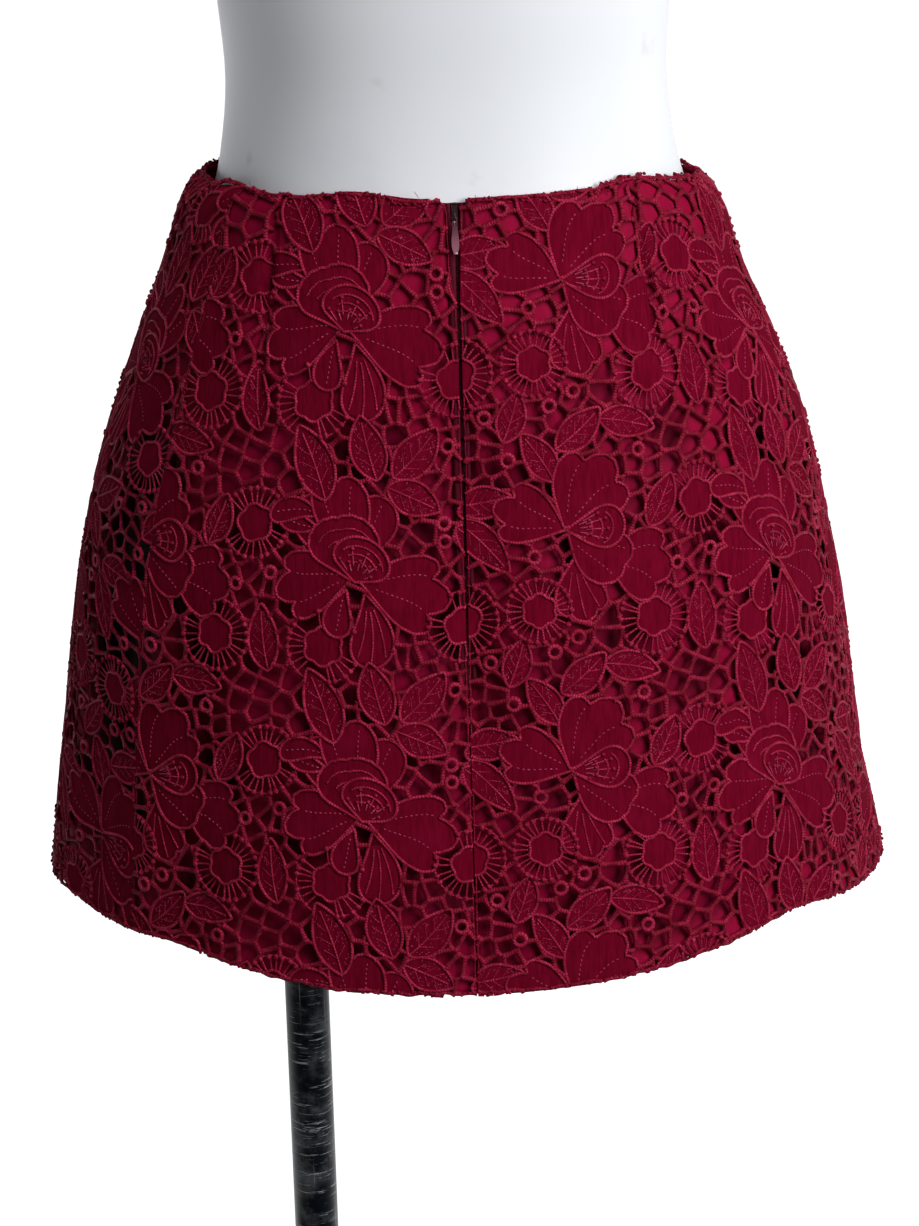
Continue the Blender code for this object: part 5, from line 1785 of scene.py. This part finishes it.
tape_satin, tape_tree = principled(
    "zip_tape_satin", Roughness=0.55, Sheen_Weight=0.02, Sheen_Roughness=0.4, Sheen_Tint=(1.0, 0.2, 0.3, 1),
    Specular_IOR_Level=0.06,
)
tape_uneven = clouds(tape_tree, object_place(tape_tree), 60.0, 0.5, 0.4)
feed(tape_tree, Base_Color=mixed(tape_tree, tape_uneven, (0.066, 0.0022, 0.0100), (0.110, 0.0055, 0.0190)))
coil_nylon, _ = principled(
    "zip_coil_nylon", Base_Color=(0.045, 0.002, 0.008, 1), Roughness=0.5, Specular_IOR_Level=0.12,
)

tape_rows = np.linspace(TAPE_TOP, TAPE_END, 130)[:, None]
spread = np.clip((SPLAY_END - tape_rows * SKIRT_LENGTH) / SPLAY_SPAN, 0, 1)
spread = spread**2 * (3 - 2 * spread)
for name, splay, folds in TAPES:
    aside, depth = (np.array(column) * MM for column in zip(*folds))
    side = np.sign(aside[0])
    way = unit(stacked(np.gradient(aside), np.gradient(depth)))
    faces = []
    for inward in (-TAPE_CLOTH / 2, TAPE_CLOTH / 2):
        x = (aside + side * way[:, 1] * inward)[None, :] + side * splay * spread
        angle = beside(CENTRE_BACK, tape_rows, x)
        under = lining_lie(np.broadcast_to(tape_rows, angle.shape), angle) + LINING_THICKNESS
        level = (depth - side * way[:, 0] * inward)[None, :]
        level = np.where(np.abs(x) > TAPE_SEWN_FROM, np.maximum(level, under + inward), level)
        faces.append(on_skirt(tape_rows, angle, level)[0])
    tape = walled(f"{name}_satin", *faces, tape_satin, turned_over=side > 0)
    stands_for(tape, name)

# The coils: a round-ended tooth at each pitch along a root cord, the two sides half a pitch apart.
TOOTH_PITCH = 1.1 * MM / SKIRT_LENGTH
TOOTH_AWAY, TOOTH_DEPTH, TOOTH_HALF, TOOTH_LONG, TOOTH_SLANT = 0.75 * MM, 2.60 * MM, 0.34 * MM, 1.9 * MM, 14.0
ROOT_AWAY, ROOT_DEPTH, ROOT_RADIUS = 1.75 * MM, 2.7 * MM, 0.36 * MM
SLIDER_TOP, SLIDER_LENGTH = 2.0, 9.0  # millimetres below the waist edge, and down the zip
coil_start = (SLIDER_TOP + SLIDER_LENGTH + 0.8) * MM / SKIRT_LENGTH
for name, side in (("zip_coil_left", -1), ("zip_coil_right", 1)):
    teeth = np.arange(coil_start + (TOOTH_PITCH / 2 if side > 0 else 0), ZIP_END, TOOTH_PITCH)
    depth, half, long, slant = (
        np.full(len(teeth), size) for size in (TOOTH_DEPTH, TOOTH_HALF, TOOTH_LONG, side * TOOTH_SLANT)
    )
    away = beside(CENTRE_BACK, teeth, side * TOOTH_AWAY)
    tooth = edge_bits(f"{name}_teeth", teeth, away, depth, half, long, slant, coil_nylon)
    root_line = (teeth, beside(CENTRE_BACK, teeth, side * ROOT_AWAY), ROOT_DEPTH, ROOT_RADIUS)
    root = laid_line(f"{name}_root", [root_line], 6, 1.0, coil_nylon)
    stands_for(joined(f"{name}_wire", [root, tooth]), name)

# ---------------------------------------------------------------- the zip: slider and pull tab
# A small dark slider with a wire bridge, and a long drop-shaped tab in dusky pink enamel hung from it. Places are
# in the zip's own frame in millimetres: x across, y out of the cloth and z up from the waist edge.
zip_top, zip_low, zip_high = (skirt_surface(share, np.array(CENTRE_BACK)) for share in (0.0, 0.075, 0.012))
zip_down = (zip_low - zip_high) / np.linalg.norm(zip_low - zip_high)
ZIP_FRAME = np.array([(1, 0, 0), np.cross(zip_down, (1, 0, 0)), -zip_down])
# Profiles are distances down the zip, each with a half width there.
SLIDER_PROFILE = ((2.0, 1.15), (2.5, 1.70), (3.4, 2.00), (8.6, 2.05), (10.1, 1.75), (10.7, 1.35), (11.0, 0.95))
TAB_PROFILE = (
    (-0.4, 1.25), (1.2, 1.55), (4.2, 1.45), (8.0, 1.90), (12.0, 2.25), (15.0, 2.05), (17.0, 1.30), (17.8, 0.45),
)
EYE_PROFILE = ((0.4, 0.85), (3.6, 0.85))
SLIDER_FACE, SLIDER_BACK = 0.3, 2.7
PIVOT_OUT, PIVOT_DOWN, TAB_THICKNESS = 1.15, 9.35, 1.1
BRIDGE = np.array((
    (-0.4, 6.55), (0.7, 6.60), (1.6, 6.80), (2.12, 7.30), (2.28, 8.10), (2.28, 9.20), (2.14, 9.95), (1.6, 10.42),
    (0.7, 10.55), (-0.4, 10.55),
))
PLATE_SIDES = 32


def in_zip(points):
    """World places of points in the zip's frame, in millimetres."""
    return zip_top + np.asarray(points, float) @ ZIP_FRAME * MM


def rounded_plate(name, profile, down, low, high, edge, material, dome=0.5):
    """A plate lofted down the zip through a profile, its ends rounded over; dome 1 makes it oval across."""
    places, halves = np.array(profile).T
    first, last = places[0], places[-1]
    ease = edge * (1 - np.cos(np.linspace(0, np.pi / 2, 7)))
    at = np.unique(np.concatenate([first + ease, np.linspace(first + edge, last - edge, 26), last - ease]).round(5))
    smooth = np.convolve(np.pad(np.interp(at, places, halves), 2, mode="edge"), np.ones(5) / 5, mode="valid")
    rounding = np.sqrt(np.clip(1 - (1 - np.minimum(at - first, last - at) / edge) ** 2, 0.0004, 1))
    turn = np.linspace(0, 2 * np.pi, PLATE_SIDES + 1)[:-1]
    x, y = (np.sign(wave) * np.abs(wave) ** dome for wave in (np.cos(turn), np.sin(turn)))
    wide = np.maximum(smooth - edge * (1 - rounding), 0.05)[:, None]
    out = (low + high) / 2 + (high - low) / 2 * rounding[:, None] * y
    points = stacked(wide * x, out, np.broadcast_to(-(down + at)[:, None], out.shape))
    ends = [tuple(range(start, start + PLATE_SIDES)) for start in (0, PLATE_SIDES * (len(at) - 1))]
    faces = grid_faces(len(at), PLATE_SIDES) + ends
    return faced_out(mesh_object(name, in_zip(points.reshape(-1, 3)), faces, material))


slider_metal, _ = principled(
    "zip_slider_enamel", Base_Color=(0.022, 0.006, 0.009, 1), Roughness=0.40, Metallic=0.1, Specular_IOR_Level=0.3,
)
tab_enamel, tab_tree = principled("zip_pull_tab_enamel", Roughness=0.30, Metallic=0.15, Specular_IOR_Level=0.7)
tab_place = object_place(tab_tree)
# Painted shade: the tab's enamel is painted dark near the slider and lighter toward its tip.
tab_height = node(tab_tree, "ShaderNodeSeparateXYZ", {"Vector": tab_place}).outputs["Z"]
tab_painted_light = ranged(tab_tree, tab_height, zip_top[2] - 12 * MM, zip_top[2] - 24 * MM)
tab_shaded_colour = mixed(tab_tree, tab_painted_light, (0.095, 0.022, 0.040), (0.270, 0.100, 0.135))
tab_worn = clouds(tab_tree, tab_place, 260.0, 0.25, 0.3)
feed(tab_tree, Base_Color=mixed(tab_tree, tab_worn, tab_shaded_colour, (0.330, 0.145, 0.185)))

bridge_way = unit(np.gradient(BRIDGE, axis=0))
flat_zero = np.zeros(len(BRIDGE))
bridge_facing = stacked(flat_zero, bridge_way[:, 1], bridge_way[:, 0]) @ ZIP_FRAME
bridge_points = in_zip(stacked(flat_zero, BRIDGE[:, 0], -BRIDGE[:, 1]))
bridge_wire = cord_from(
    "zip_slider_bridge", bridge_points, bridge_facing, flat_zero + 0.5 * MM, chain(0, len(BRIDGE)), 12, 0.65,
    slider_metal,
)
slider_plate = rounded_plate("zip_slider_plate", SLIDER_PROFILE, 0.0, -SLIDER_BACK, -SLIDER_FACE, 0.6, slider_metal)
stands_for(joined("zip_slider_body", [slider_plate, bridge_wire]), "zip_slider")

tab_back, tab_face = PIVOT_OUT - TAB_THICKNESS / 2, PIVOT_OUT + TAB_THICKNESS / 2
pull_tab = rounded_plate("zip_pull_tab_drop", TAB_PROFILE, PIVOT_DOWN, tab_back, tab_face, 0.32, tab_enamel, 1.0)
eye = rounded_plate("tab_eye_cutter", EYE_PROFILE, PIVOT_DOWN, PIVOT_OUT - 2, PIVOT_OUT + 2, 0.25, None)
cut = pull_tab.modifiers.new("eye", "BOOLEAN")
cut.object, cut.operation, cut.solver = eye, "DIFFERENCE", "EXACT"
as_meshed(pull_tab)
bpy.data.objects.remove(eye)
pull_tab.data.set_sharp_from_angle(angle=SHARP)
stands_for(pull_tab, "zip_pull_tab", body="pull_tab")

# ---------------------------------------------------------------- sizes
low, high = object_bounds()
